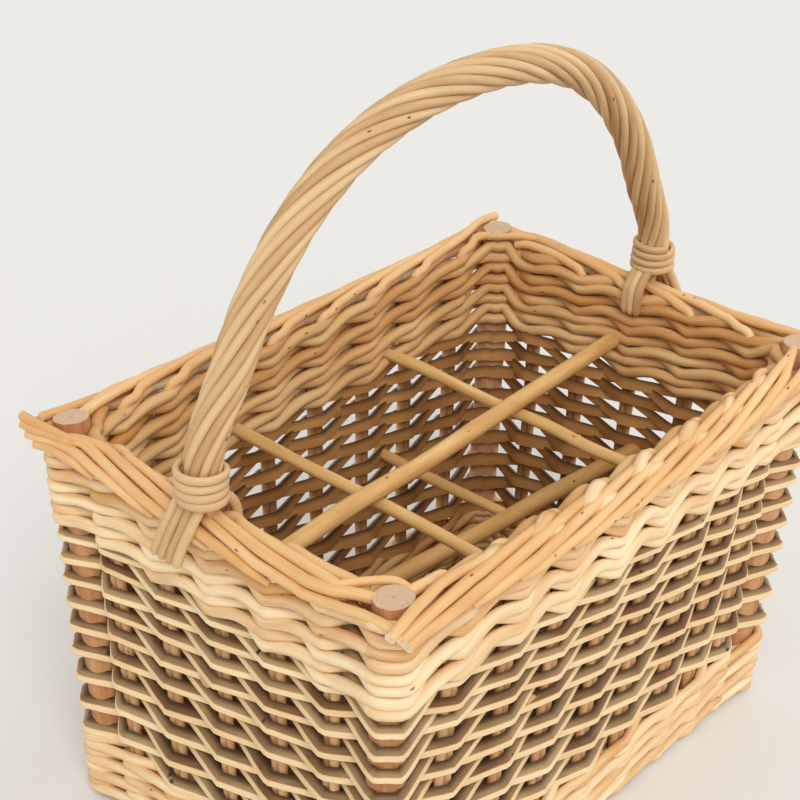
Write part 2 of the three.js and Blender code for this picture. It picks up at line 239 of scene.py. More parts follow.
@dataclass(frozen=True)
class Stop:
    """A post, or an upright, that each course goes by. A post has no place along its wall."""

    wall: Wall
    along: float | None


@dataclass(frozen=True)
class Plan:
    """Where the posts and uprights stand, how the walls lean, and how their rims sag between the posts."""

    post_x: float = 160.0
    post_y: float = 103.0
    post_radius: float = 8.75
    wall_out: float = 3.0
    rim: float = 230.0
    lean: float = 8.0
    sags: tuple[float, ...] = (10.0, 3.0, 3.0, 4.25)
    long_uprights: tuple[float, ...] = (-123, -82, -45, -6, 31, 71, 102, 132)
    short_uprights: tuple[float, ...] = (-76, -38, 0, 37, 72)

    def inset(self, height: float) -> float:
        """How far the walls stand in from the rim at a height."""
        return self.lean * (1 - height / self.rim)

    def uprights(self, wall: Wall) -> tuple[float, ...]:
        """Places of the uprights along a wall."""
        return self.long_uprights if wall.is_long else self.short_uprights

    def half(self, wall: Wall) -> float:
        """Distance along a wall from its middle to its corner post."""
        return self.post_x if wall.is_long else self.post_y

    def spot(self, wall: Wall, along: float, out: float, height: float) -> Vector:
        """A point by a wall.

        Args:
            wall: The wall.
            along: Distance from the wall's middle at the rim, the way the weaver goes.
            out: Distance outwards from the line of the uprights.
            height: Height above the ground, had the wall not sagged.

        Returns:
            The point in millimetres.
        """
        inset = self.inset(height)
        half = self.half(wall)
        reach = self.half(wall.before) + self.wall_out - inset + out
        sag = self.sags[wall.value] * max(0.0, 1 - (along / half) ** 2) * height / self.rim
        place = wall.travel * (along * (1 - inset / half)) + wall.outward * reach
        return place + Vector((0, 0, height - sag))

    def post(self, wall: Wall, height: float) -> Vector:
        """The middle of the post that a wall starts from.

        Args:
            wall: The wall that begins there.
            height: Height above the ground.

        Returns:
            The point in millimetres.
        """
        back = self.half(wall) - self.inset(height)
        reach = self.half(wall.before) - self.inset(height)
        return wall.outward * reach - wall.travel * back + Vector((0, 0, height))

    def stops(self) -> list[Stop]:
        """Every post and upright.

        Returns:
            The stops in the order that a course meets them.
        """
        found = []
        for wall in Wall:
            found.append(Stop(wall, None))
            found.extend(Stop(wall, along) for along in self.uprights(wall))
        return found


@dataclass
class Rod:
    """One willow rod: the points that it goes through and its radius at each, in millimetres."""

    path: list[Vector]
    radius: list[float]
    closed: bool = False

    @classmethod
    def even(cls, path: list[Vector], radius: float) -> "Rod":
        """A rod of one thickness."""
        return cls(path, [radius] * len(path))


@dataclass(frozen=True)
class Section:
    """How a rod is cut: its sides, the step along it, and a split rod's flat, depth, slant and keel."""

    sides: int = 10
    step: float = 3.0
    flat: float = 1.0
    deep: float = 1.0
    slant: float = 0.0
    keel: float = 0.0
    uneven: float = 0.05
    level: bool = False


ROUND = Section()


class RodTree:
    """A node tree that smooths each path, sweeps a section along it and marks the skin for its finish.

    The skin's grain attribute holds the place round the rod and the length along it, tone is one number for
    each rod, and cut marks the ends.
    """

    LABEL = "Willow rods"
    TAKES = {
        "Geometry": "Geometry", "Step": "Float", "Sides": "Int", "Flat": "Float", "Deep": "Float",
        "Slant": "Float", "Keel": "Float", "Uneven": "Float", "Level": "Bool", "Seed": "Int",
        "Finish": "Material",
    }
    SMOOTHNESS = 12
    SWELL_SCALE = 45.0
    SWELL_RANGE = 4.0
    TONE_STEP = 7.0
    KEEL_DEPTH = 0.15
    MOST_SIDE_CORNERS = 4.5
    SHARP_ANGLE = math.radians(48)

    def __init__(self) -> None:
        """Builds the tree, which ends in real mesh in its finish."""
        self.g, self.given = new_tree(self.LABEL, "Geometry", self.TAKES, {"Geometry": "Geometry"})
        skin = self.g.wire("GeometryNodeRealizeInstances", {"Geometry": self._skin()})
        skin = self.g.wire("GeometryNodeSetMaterial", {"Geometry": skin, "Material": self.given["Finish"]})
        self.g.node("NodeGroupOutput", {"Geometry": skin})

    def _skin(self) -> Wire:
        """The swept rods, smooth but for their sharp edges.

        Returns:
            The mesh.
        """
        g = self.g
        radius = g.wire("GeometryNodeInputRadius")
        wires = {"Curve": self._path(), "Profile Curve": self._profile(), "Scale": radius, "Fill Caps": True}
        skin = self._mark(g.wire("GeometryNodeCurveToMesh", wires))
        skin = g.wire("GeometryNodeSetShadeSmooth", {"Geometry": skin, "Shade Smooth": True}, domain="FACE")
        angle = g.wire("GeometryNodeInputMeshEdgeAngle", out="Unsigned Angle")
        sharp = g.math("GREATER_THAN", angle, self.SHARP_ANGLE)
        wires = {"Geometry": skin, "Selection": sharp, "Shade Smooth": False}
        return g.wire("GeometryNodeSetShadeSmooth", wires, domain="EDGE")

    def _smooth(self) -> Wire:
        """The paths as smooth curves.

        Returns:
            The curves, with points a step apart.
        """
        wires = {"Curve": self.given["Geometry"]}
        wires = {"Geometry": self.g.wire("GeometryNodeCurveSplineType", wires, spline_type="CATMULL_ROM")}
        curve = self.g.wire("GeometryNodeSetSplineResolution", wires | {"Resolution": self.SMOOTHNESS})
        wires = {"Curve": curve, "Length": self.given["Step"]}
        return self.g.wire("GeometryNodeResampleCurve", wires, mode="LENGTH")

    def _path(self) -> Wire:
        """The curves, a little uneven in thickness.

        Returns:
            The curves, with each point's tone, length along the rod and thickness.
        """
        g, given = self.g, self.given
        wires = {"Curve": self._smooth(), "Selection": given["Level"]}
        curve = g.wire("GeometryNodeSetCurveNormal", wires, mode="Z_UP")
        number = g.wire("GeometryNodeInputIndex")
        number = g.wire("GeometryNodeFieldOnDomain", {"Value": number}, domain="CURVE", data_type="INT")
        tone = g.wire("FunctionNodeRandomValue", {"ID": number, "Seed": given["Seed"]}, data_type="FLOAT")
        along = g.wire("GeometryNodeSplineParameter", out="Length")
        place = g.point(along, tone, g.math("MULTIPLY", tone, self.TONE_STEP))
        swell = g.math("SUBTRACT", g.noise(place, self.SWELL_SCALE, 1.0), 0.5)
        swell = g.math("MULTIPLY", swell, g.math("MULTIPLY", given["Uneven"], self.SWELL_RANGE))
        radius = g.math("MULTIPLY", g.wire("GeometryNodeInputRadius"), g.math("ADD", swell, 1.0))
        curve = g.wire("GeometryNodeSetCurveRadius", {"Curve": curve, "Radius": radius})
        marks = {"tone": tone, "along": along, "thick": g.wire("GeometryNodeInputRadius")}
        for label, value in marks.items():
            curve = self._keep(curve, label, value, "FLOAT", "POINT")
        return curve

    def _profile(self) -> Wire:
        """The section that is swept: a circle, or half of one with a slant and a keel for a split rod.

        Returns:
            Its outline, with each point's place on the circle as its ring attribute.
        """
        g, given = self.g, self.given
        circle = g.wire("GeometryNodeCurvePrimitiveCircle", {"Resolution": given["Sides"], "Radius": 1.0})
        position = g.wire("GeometryNodeInputPosition")
        circle = self._keep(circle, "ring", position, "FLOAT_VECTOR", "POINT")
        parts = g.parts(position)
        flat = g.math("MINIMUM", parts["X"], given["Flat"])
        middle = g.math("MULTIPLY", g.math("SUBTRACT", 1.0, given["Flat"]), 0.5)
        out = g.math("MULTIPLY", g.math("ADD", flat, middle), given["Deep"])
        behind = g.math("MULTIPLY", g.math("MINIMUM", parts["X"], 0.0), given["Keel"])
        lower = g.math("MULTIPLY", g.math("MAXIMUM", parts["Y"], 0.0), g.math("SUBTRACT", 1.0, behind))
        round_side = g.math("ADD", g.math("MINIMUM", parts["Y"], 0.0), lower)
        down = g.math("MULTIPLY_ADD", out, given["Slant"], round_side)
        lowest = g.math("MULTIPLY", g.math("MULTIPLY", given["Slant"], given["Deep"]), 0.5)
        lowest = g.math("ADD", lowest, g.math("MULTIPLY_ADD", given["Keel"], self.KEEL_DEPTH, 1.0))
        shape = g.point(out, g.math("MINIMUM", down, lowest))
        return g.wire("GeometryNodeSetPosition", {"Geometry": circle, "Position": shape})

    def _mark(self, skin: Wire) -> Wire:
        """Marks the skin with what its finish reads, and takes off what only the marks needed.

        Args:
            skin: The swept rods.

        Returns:
            The skin with its grain and cut attributes.
        """
        g = self.g
        kinds = {"ring": "FLOAT_VECTOR", "thick": "FLOAT", "along": "FLOAT"}
        ring, thick, along = (
            g.wire("GeometryNodeInputNamedAttribute", {"Name": label}, data_type=kind)
            for label, kind in kinds.items()
        )
        grain = g.vector("ADD", g.vector("SCALE", ring, thick), g.point(z=along))
        skin = self._keep(skin, "grain", grain, "FLOAT_VECTOR", "POINT")
        corners = g.wire("GeometryNodeInputMeshFaceNeighbors", out="Vertex Count")
        ends = g.math("GREATER_THAN", corners, self.MOST_SIDE_CORNERS)
        skin = self._keep(skin, "cut", ends, "FLOAT", "FACE")
        for label in kinds:
            skin = g.wire("GeometryNodeRemoveAttribute", {"Geometry": skin, "Name": label})
        return skin

    def _keep(self, geometry: Wire, name: str, value: Wire, kind: str, domain: str) -> Wire:
        """Stores a value of one kind on a domain of the geometry, under a name."""
        wires = {"Geometry": geometry, "Name": name, "Value": value}
        return self.g.wire("GeometryNodeStoreNamedAttribute", wires, data_type=kind, domain=domain)


class BowTree(RodTree):
    """A node tree that lays strands round one path in a slow twist, and skins them as rods.

    The path's radius is that of the whole bundle.
    """

    LABEL = "Twisted bow"
    TAKES = RodTree.TAKES | {"Strands": "Int", "Turns": "Float", "Lay": "Float", "Share": "Float"}

    def __init__(self, rods: RodTree) -> None:
        """Builds the tree with the one that skins rods."""
        self.rods = rods
        super().__init__()

    def _skin(self) -> Wire:
        """The strands, each swept as a rod.

        Returns:
            The mesh.
        """
        g, given = self.g, self.given
        wires = {"Geometry": self._smooth(), "Amount": given["Strands"]}
        many = g.node("GeometryNodeDuplicateElements", wires, domain="SPLINE").outputs
        share = g.math("DIVIDE", many["Duplicate Index"], given["Strands"])
        turn = g.math("MULTIPLY", g.wire("GeometryNodeSplineParameter", out="Factor"), given["Turns"])
        angle = g.math("MULTIPLY", g.math("ADD", share, turn), math.tau)
        across = g.vector("CROSS_PRODUCT", g.wire("GeometryNodeInputTangent"), (0.0, 1.0, 0.0))
        side = g.vector("SCALE", across, g.math("SINE", angle))
        way = g.vector("ADD", side, g.point(y=g.math("COSINE", angle)))
        radius = g.wire("GeometryNodeInputRadius")
        offset = g.vector("SCALE", way, g.math("MULTIPLY", radius, given["Lay"]))
        curve = g.wire("GeometryNodeSetPosition", {"Geometry": many["Geometry"], "Offset": offset})
        thin = g.math("MULTIPLY", radius, given["Share"])
        curve = g.wire("GeometryNodeSetCurveRadius", {"Curve": curve, "Radius": thin})
        wires = {label: given[label] for label in RodTree.TAKES} | {"Geometry": curve}
        return g.wire("GeometryNodeGroup", wires, node_tree=self.rods.g.tree)


class Loom:
    """Makes meshes from rods, with the node trees that give them their skin."""

    def __init__(self) -> None:
        """Builds both trees."""
        self.rods = RodTree()
        self.bow = BowTree(self.rods)

    def make(
        self, name: str, rods: Sequence[Rod], finish: bpy.types.Material, section: Section, seed: int,
        bow: dict[str, float] | None = None,
    ) -> bpy.types.Object:
        """One plain mesh from any number of rods.

        Args:
            name: The piece's name.
            rods: The rods' paths.
            finish: The material of all of them.
            section: How the rods are cut.
            seed: Fixes what differs from rod to rod.
            bow: Values for the bow tree, where the path is the middle of a twisted bundle.

        Returns:
            The piece, at the origin.
        """
        curve = bpy.data.curves.new(name, "CURVE")
        curve.dimensions = "3D"
        for rod in rods:
            spline = curve.splines.new("POLY")
            spline.points.add(len(rod.path) - 1)
            spline.use_cyclic_u = rod.closed
            for point, place, radius in zip(spline.points, rod.path, rod.radius):
                point.co = (*(place * MM), 1)
                point.radius = radius * MM
        holder = show(f"{name}_paths", curve)
        modifier = holder.modifiers.new("Skin", "NODES")
        modifier.node_group = (self.bow if bow else self.rods).g.tree
        values = {size.capitalize(): value for size, value in asdict(section).items()}
        values |= {"Step": section.step * MM, "Seed": seed, "Finish": finish} | (bow or {})
        for item in modifier.node_group.interface.items_tree:
            if item.item_type == "SOCKET" and item.in_out == "INPUT" and item.name in values:
                modifier[item.identifier] = values[item.name]
        graph = bpy.context.evaluated_depsgraph_get()
        mesh = bpy.data.meshes.new_from_object(holder.evaluated_get(graph), depsgraph=graph)
        bpy.data.objects.remove(holder)
        bpy.data.curves.remove(curve)
        mesh.name = name
        return show(name, mesh)


class Effects:
    """Shader groups that more than one finish uses. The scales count repeats in a metre of rod."""

    FINE_SCALE = (1900.0, 1900.0, 42.0)
    SLOW_SCALE = (170.0, 170.0, 24.0)
    BUD_SCALE = (200.0, 200.0, 80.0)
    BUD_EDGE = (0.05, 0.15)
    GRAIN_STEP = 97.0
    BUD_STEP = 61.0
    RING_SCALE = 4200.0
    RING_WANDER = 6.0
    RING_CONTRAST = 0.09
    WOOD_LEVEL = 0.15
    WANDER_SCALE = 420.0
    INNER_EDGE = (-1.0, 3.0)

    def __init__(self, plan: Plan) -> None:
        """Builds the groups.

        Args:
            plan: Where the walls stand.
        """
        self.grain = self._grain()
        self.scars = self._scars()
        self.ends = self._ends()
        self.inside = self._inner_shade(plan)

    def _grain(self) -> bpy.types.NodeTree:
        """Streaks along a rod and a slow drift between two tones.

        Returns:
            A group that gives a colour and a height.
        """
        takes = {"Rod": "Vector", "Tone": "Float", "Pale": "Color", "Deep": "Color"}
        takes |= {"Streak": "Float", "Drift": "Float", "Spread": "Float"}
        g, given = new_tree("Rod grain", "Shader", takes, {"Color": "Color", "Height": "Float"})
        fine = g.noise(self._place(g, given, self.FINE_SCALE, self.GRAIN_STEP), 1.0, 3.0, 0.6)
        slow = g.noise(self._place(g, given, self.SLOW_SCALE, self.GRAIN_STEP), 1.0, 2.0)
        streak, drift = (g.math("MULTIPLY", given[label], 2.0) for label in ("Streak", "Drift"))
        share: object = 0.5
        for value, amount in ((fine, streak), (slow, drift), (given["Tone"], given["Spread"])):
            share = g.math("MULTIPLY_ADD", g.math("SUBTRACT", value, 0.5), amount, share)
        color = g.blend(share, given["Pale"], given["Deep"])
        g.node("NodeGroupOutput", {"Color": color, "Height": fine})
        return g.tree

    def _scars(self) -> bpy.types.NodeTree:
        """Small dark scars where buds sat on the rod.

        Returns:
            A group that gives a mask.
        """
        takes = {"Rod": "Vector", "Tone": "Float", "Amount": "Float"}
        g, given = new_tree("Bud scars", "Shader", takes, {"Mask": "Float"})
        place = self._place(g, given, self.BUD_SCALE, self.BUD_STEP)
        cells = g.node("ShaderNodeTexVoronoi", {"Vector": place, "Scale": 1.0}).outputs
        spot = g.ramp(cells["Distance"], *self.BUD_EDGE, 1.0, 0.0)
        chance = g.wire("ShaderNodeSeparateColor", {"Color": cells["Color"]}, out="Red")
        chosen = g.math("LESS_THAN", chance, given["Amount"])
        g.node("NodeGroupOutput", {"Mask": g.math("MULTIPLY", spot, chosen)})
        return g.tree

    def _ends(self) -> bpy.types.NodeTree:
        """Growth rings and pith on a cut end.

        Returns:
            A group that gives a colour.
        """
        takes = {"Rod": "Vector", "Wood": "Color", "Ring": "Color", "Pith": "Float"}
        g, given = new_tree("Cut end", "Shader", takes, {"Color": "Color"})
        parts = g.parts(given["Rod"])
        flat = g.point(parts["X"], parts["Y"])
        middle = g.wire("ShaderNodeVectorMath", {0: flat}, out="Value", operation="LENGTH")
        wander = g.noise(flat, self.WANDER_SCALE, 3.0)
        wave = g.math("MULTIPLY_ADD", wander, self.RING_WANDER, g.math("MULTIPLY", middle, self.RING_SCALE))
        level = g.math("SUBTRACT", wander, self.WOOD_LEVEL)
        share = g.math("MULTIPLY_ADD", g.math("SINE", wave), self.RING_CONTRAST, level)
        share = g.math("MAXIMUM", share, g.math("LESS_THAN", middle, given["Pith"]))
        g.node("NodeGroupOutput", {"Color": g.blend(share, given["Wood"], given["Ring"])})
        return g.tree

    def _inner_shade(self, plan: Plan) -> bpy.types.NodeTree:
        """Painted shade: a browner, darker tone on the inner side of the walls, standing in for the shade
        and warm bounce light inside the basket.

        Args:
            plan: Where the walls stand.

        Returns:
            A group that gives the colour it is given, with painted shade inside the line of the uprights.
        """
        takes = {"Color": "Color", "Brown": "Color"}
        g, given = new_tree("Painted inner shade", "Shader", takes, {"Color": "Color"})
        parts = g.parts(g.wire("ShaderNodeTexCoord", out="Object"))
        inset = g.math("MULTIPLY_ADD", parts["Z"], -plan.lean / plan.rim, plan.lean * MM)
        depths = []
        for axis, post in (("X", plan.post_x), ("Y", plan.post_y)):
            edge = g.math("SUBTRACT", (post + plan.wall_out) * MM, inset)
            depths.append(g.math("SUBTRACT", edge, g.math("ABSOLUTE", parts[axis])))
        share = g.ramp(g.math("MINIMUM", *depths), *(depth * MM for depth in self.INNER_EDGE))
        brown = g.vector("MULTIPLY", given["Color"], given["Brown"])
        g.node("NodeGroupOutput", {"Color": g.blend(share, given["Color"], brown)})
        return g.tree

    @staticmethod
    def _place(g: Graph, given: Outputs, scale: Step, step: float) -> Wire:
        """A place on the rod at a texture's scale, moved on by the rod's tone so that no two are alike."""
        shift = g.math("MULTIPLY", given["Tone"], step)
        return g.vector("ADD", g.vector("MULTIPLY", given["Rod"], scale), g.point(shift, shift, shift))


@dataclass(frozen=True, kw_only=True)
class Finish(ABC):
    """A willow surface that can make its own material."""

    name: str
    pale: Tint
    deep: Tint
    scar: Tint
    scars: float = 0.3
    roughness: float = 0.5
    gloss: float = 0.35
    relief: float = 0.25
    grain_height: float = 0.4
    # The tint of the painted shade on the inner side of the walls; white leaves the colour as it is.
    inside: Tint = (1.0, 1.0, 1.0, 1.0)

    def material(self, effects: Effects) -> bpy.types.Material:
        """The finish as a material.

        Args:
            effects: The shader groups.

        Returns:
            The material.
        """
        material = bpy.data.materials.new(self.name)
        material.use_nodes = True
        material.node_tree.nodes.clear()
        g = Graph(material.node_tree)
        rod: Wires = {"Rod": self._read(g, "grain", "Vector"), "Tone": self._read(g, "tone", "Fac")}
        color, height = self.paint(g, effects, rod)
        wires = {"Strength": self.relief, "Distance": self.grain_height * MM, "Height": height}
        shader = {"Normal": g.wire("ShaderNodeBump", wires)}
        # Painted shade: the colour is tinted browner and darker on the inner side of the walls.
        shader["Base Color"] = g.group(effects.inside, {"Color": color, "Brown": self.inside})["Color"]
        shader |= {"Roughness": self.roughness, "Specular IOR Level": self.gloss}
        g.node("ShaderNodeOutputMaterial", {"Surface": g.wire("ShaderNodeBsdfPrincipled", shader)})
        return material

    @abstractmethod
    def paint(self, g: Graph, effects: Effects, rod: Wires) -> tuple[Wire, Wire]:
        """The colour of the surface and the height of its grain."""

    @staticmethod
    def _read(g: Graph, name: str, out: str) -> Wire:
        """One of the rods' own attributes."""
        return g.wire("ShaderNodeAttribute", out=out, attribute_name=name)

    @staticmethod
    def _grain(g: Graph, effects: Effects, rod: Wires, tones: tuple[Tint, Tint], swing: Step) -> Outputs:
        """Grain between a pale and a deep tone, with so much streak, drift and spread."""
        labels = ("Pale", "Deep", "Streak", "Drift", "Spread")
        return g.group(effects.grain, rod | dict(zip(labels, (*tones, *swing))))


@dataclass(frozen=True, kw_only=True)
class RodFinish(Finish):
    """A whole willow rod, peeled or in its bark, streaked along its length, with bud scars and cut ends."""

    wood: Tint
    ring: Tint
    streak: float = 0.35
    drift: float = 0.5
    spread: float = 0.4
    pith: float = 0.5

    def paint(self, g: Graph, effects: Effects, rod: Wires) -> tuple[Wire, Wire]:
        """Lays the scars and the cut ends over the grain.

        Args:
            g: The material's graph.
            effects: The shader groups.
            rod: The place on the rod and the rod's tone.

        Returns:
            The colour and the grain's height.
        """
        tones = (self.pale, self.deep)
        grain = self._grain(g, effects, rod, tones, (self.streak, self.drift, self.spread))
        scars = g.group(effects.scars, rod | {"Amount": self.scars})
        wires = {"Rod": rod["Rod"], "Wood": self.wood, "Ring": self.ring, "Pith": self.pith * MM}
        ends = g.group(effects.ends, wires)
        color = g.blend(scars["Mask"], grain["Color"], self.scar)
        return g.blend(self._read(g, "cut", "Fac"), color, ends["Color"]), grain["Height"]


@dataclass(frozen=True, kw_only=True)
class SplitFinish(Finish):
    """A split rod: pale wood on the cleft face, bark on the upper round with painted shade towards its inner
    side, and brown wood under it.

    Each swing is the streak, drift and spread of a grain. Each edge is where one part of the section turns
    into the next, as a share of the half width.
    """

    bark: Tint
    bark_brown: Tint
    # Painted shade: the colour that darkens the bark towards the inner side of the section, where the strip
    # above shades it.
    shade: Tint
    under: Tint
    under_brown: Tint
    half: float = 1.25
    scars: float = 0.5
    roughness: float = 0.55
    gloss: float = 0.3
    relief: float = 0.3
    wood_swing: Step = (0.5, 0.5, 0.3)
    bark_swing: Step = (0.4, 1.2, 1.0)
    under_swing: Step = (0.4, 0.9, 0.8)
    shade_edge: Pair = (-0.95, -0.25)
    shade_share: float = 0.85
    under_edge: Pair = (-0.15, 0.3)
    cleft_edge: Pair = (-0.2, -0.03)

    def paint(self, g: Graph, effects: Effects, rod: Wires) -> tuple[Wire, Wire]:
        """Lays bark with painted shade on its inner side, the wood under it and the cleft face round the
        section.

        Args:
            g: The material's graph.
            effects: The shader groups.
            rod: The place on the rod and the rod's tone.

        Returns:
            The colour and the grain's height.
        """
        wood = self._grain(g, effects, rod, (self.pale, self.deep), self.wood_swing)
        bark = self._grain(g, effects, rod, (self.bark, self.bark_brown), self.bark_swing)
        under = self._grain(g, effects, rod, (self.under, self.under_brown), self.under_swing)
        scars = g.group(effects.scars, rod | {"Amount": self.scars})
        half = self.half * MM
        edges = (self.shade_edge, self.under_edge, self.cleft_edge)
        shaded, below, cleft = ([share * half for share in edge] for edge in edges)
        parts = g.parts(rod["Rod"])
        # Painted shade: the bark turns to the shade colour towards the inner side of the section.
        dark = g.blend(g.ramp(parts["X"], *shaded, self.shade_share, 0.0), bark["Color"], self.shade)
        dark = g.blend(scars["Mask"], dark, self.scar)
        dark = g.blend(g.ramp(parts["Y"], *below), dark, under["Color"])
        return g.blend(g.ramp(parts["X"], *cleft), dark, wood["Color"]), wood["Height"]


# Each inside tint below is painted shade for the inner side of the walls.
HONEY = RodFinish(
    name="honey_willow", pale=tint(246, 210, 154), deep=tint(218, 158, 92),
    wood=tint(246, 228, 190), ring=tint(206, 160, 104), scar=tint(120, 70, 35),
    pith=0.3,
)
CREAM = RodFinish(
    name="cream_willow", pale=tint(251, 228, 186), deep=tint(218, 166, 104),
    wood=tint(240, 220, 176), ring=tint(196, 150, 96), scar=tint(140, 90, 50),
    drift=0.8, spread=0.7, scars=0.2, inside=tint(230, 212, 184),
)
STRAW = RodFinish(
    name="straw_willow", pale=tint(230, 198, 150), deep=tint(188, 144, 94),
    wood=tint(240, 226, 190), ring=tint(200, 165, 110), scar=tint(90, 60, 35),
    spread=0.7, scars=0.15,
)
BUFF = RodFinish(
    name="buff_stick", pale=tint(236, 198, 132), deep=tint(204, 152, 86),
    wood=tint(230, 195, 140), ring=tint(180, 130, 75), scar=tint(110, 70, 35),
    drift=0.8, scars=0.5,
)
STAKE = RodFinish(
    name="stake_willow", pale=tint(228, 188, 138), deep=tint(192, 136, 88),
    wood=tint(150, 96, 56), ring=tint(100, 62, 36), scar=tint(110, 66, 36),
    inside=tint(200, 180, 158),
)
POST = RodFinish(
    name="post_bark", pale=tint(214, 167, 122), deep=tint(180, 121, 77),
    wood=tint(220, 188, 156), ring=tint(196, 156, 122), scar=tint(110, 70, 42),
    streak=0.5, drift=0.9, scars=0.2, pith=0.9, roughness=0.6, gloss=0.2,
)
BROWN = RodFinish(
    name="brown_willow", pale=tint(204, 150, 100), deep=tint(146, 96, 56),
    wood=tint(205, 160, 115), ring=tint(140, 95, 60), scar=tint(70, 42, 24),
    drift=0.8, spread=0.8,
)
# The split finish's shade colour is painted shade on the inner side of the bark.
SPLIT = SplitFinish(
    name="split_willow", pale=tint(250, 230, 190), deep=tint(228, 186, 126),
    bark=tint(176, 146, 102), bark_brown=tint(116, 78, 44), shade=tint(60, 46, 32),
    under=tint(228, 178, 116), under_brown=tint(184, 134, 82), scar=tint(46, 34, 24),
    inside=tint(242, 234, 220),
)


@dataclass(frozen=True)
class Skin:
    """A finish, the material slot in the record that it goes with, and how its rods are cut."""

    look: Finish
    slot: str
    section: Section = ROUND


@dataclass
class Shop:
    """What every sub-assembly is made with."""

    plan: Plan
    loom: Loom
    effects: Effects
    made: dict[str, bpy.types.Material] = field(default_factory=dict)

    def finish(self, finish: Finish) -> bpy.types.Material:
        """A finish's material, made once.

        Args:
            finish: The finish.

        Returns:
            Its material.
        """
        if finish.name not in self.made:
            self.made[finish.name] = finish.material(self.effects)
        return self.made[finish.name]


@dataclass
class Piece:
    """A finished object, the solids that it stands for and its material slot."""

    shape: bpy.types.Object
    nodes: tuple[str, ...]
    slot: str


@dataclass
class Assembly(ABC):
    """One sub-assembly of the basket."""

    shop: Shop
    pieces: list[Piece] = field(default_factory=list)

    @abstractmethod
    def build(self) -> None:
        """Makes the meshes in their finishes."""

    def dress(self) -> None:
        """Sets each piece on the frame in place of its solids, and reports it."""
        for piece in self.pieces:
            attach(piece.shape, BODY)
            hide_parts(*piece.nodes)
            LOG.info("%s stands for %s", piece.shape.name, ", ".join(piece.nodes))

    def lay(
        self, name: str, rods: Sequence[Rod], nodes: Sequence[str], skin: Skin, tones: int,
        bow: dict[str, float] | None = None,
    ) -> bpy.types.Object:
        """Makes a piece from its rods and keeps it for dressing.

        Args:
            name: The piece's name.
            rods: Its rods.
            nodes: The solids that it stands for.
            skin: What its rods look like.
            tones: The seed of the rods' own tones.
            bow: Values for a twisted bundle, where the one rod is its middle.

        Returns:
            The piece.
        """
        shape = self.shop.loom.make(name, rods, self.shop.finish(skin.look), skin.section, tones, bow)
        self.pieces.append(Piece(shape, tuple(nodes), skin.slot))
        return shape


@dataclass(frozen=True)
class Pass:
    """How a course goes by one stop.

    It has a side, a height there and on the way to the next stop, and a tilt and half a length by the stop.
    """

    outside: bool
    lift: float = 0.0
    after: float | None = None
    tilt: float = 0.0
    hold: float = 3.6


@dataclass(frozen=True)
class Course:
    """One course all the way round: its height, its gaps outside and inside the uprights, and its stray.

    The turns are the angles in degrees at which it goes round a post, the bite is how far it lies in there.
    """

    plan: Plan
    height: float
    outer: float
    inner: float
    stray: float
    turns_outside: tuple[float, ...] = (8, 32, 58, 82)
    turns_inside: tuple[float, ...] = (252, 225, 198)
    bite: float = 2.4
    side_stray: float = 0.6

    def path(self, passes: Sequence[Pass], chance: random.Random) -> list[Vector]:
        """The course's path.

        Args:
            passes: How it goes by each stop.
            chance: Where it strays.

        Returns:
            The path's points in millimetres.
        """
        groups = [self._beside(stop, how, chance) for stop, how in zip(self.plan.stops(), passes)]
        path = []
        for number, (points, how) in enumerate(zip(groups, passes)):
            path.extend(points)
            if how.after is not None:
                crossing = (points[-1] + groups[(number + 1) % len(groups)][0]) / 2
                crossing.z = self.height + how.after
                path.append(crossing)
        return path

    def _beside(self, stop: Stop, how: Pass, chance: random.Random) -> list[Vector]:
        """The course's points by one stop.

        Args:
            stop: The stop.
            how: How the course goes by it.
            chance: Where it strays.

        Returns:
            The points, round a post or along an upright.
        """
        level = self.height + how.lift + chance.gauss(0, self.stray)
        gap = self.outer if how.outside else self.inner
        if stop.along is None:
            middle = self.plan.post(stop.wall, level)
            before, after = stop.wall.before.outward, stop.wall.outward
            reach = self.plan.post_radius + gap - self.bite
            degrees = self.turns_outside if how.outside else self.turns_inside
            turns = [math.radians(turn) for turn in degrees]
            return [middle + (before * math.cos(turn) + after * math.sin(turn)) * reach for turn in turns]
        out = (gap if how.outside else -gap) + chance.gauss(0, self.stray * self.side_stray)
        ends = [(stop.along + side * how.hold, out, level + side * how.tilt) for side in (-1, 1)]
        return [self.plan.spot(stop.wall, *end) for end in ends]


@dataclass
class CornerPosts(Assembly):
    """Four stout willow posts, cut off at the rim with a slight slope."""

    skin: Skin = Skin(POST, "post_wood", Section(sides=30, step=5, uneven=0.03))
    labels: tuple[str, ...] = ("front_left", "front_right", "back_right", "back_left")
    foot: float = 2.0
    lengths: int = 8
    uneven: Pair = (0.97, 1.02)
    slope: float = 1.6
    ragged: float = 0.35
    top_depth: float = 0.5
    seed: int = 11

    def build(self) -> None:
        """Makes the posts."""
        plan = self.shop.plan
        chance = random.Random(self.seed)
        tall = plan.rim - self.foot
        for wall, label in zip(Wall, self.labels):
            heights = [self.foot + tall * step / self.lengths for step in range(self.lengths + 1)]
            path = [plan.post(wall, height) for height in heights]
            rod = Rod(path, [plan.post_radius * chance.uniform(*self.uneven) for _ in path])
            post = self.lay(f"post_{label}", [rod], [f"corner_post_{label}"], self.skin, wall.value)
            self._cut_top(post, path[-1], chance)

    def _cut_top(self, post: bpy.types.Object, top: Vector, chance: random.Random) -> None:
        """Slants a post's top and leaves its rim a little ragged.

        Args:
            post: The post.
            top: The middle of its top.
            chance: Which way it slants, and how ragged it is.
        """
        lean = chance.uniform(0, math.tau)
        for vertex in post.data.vertices:
            if vertex.co.z > (top.z - self.top_depth) * MM:
                away = vertex.co / MM - top
                slant = (away.x * math.cos(lean) + away.y * math.sin(lean)) / self.shop.plan.post_radius
                vertex.co.z -= (self.slope * (1 - slant) / 2 + chance.uniform(0, self.ragged)) * MM


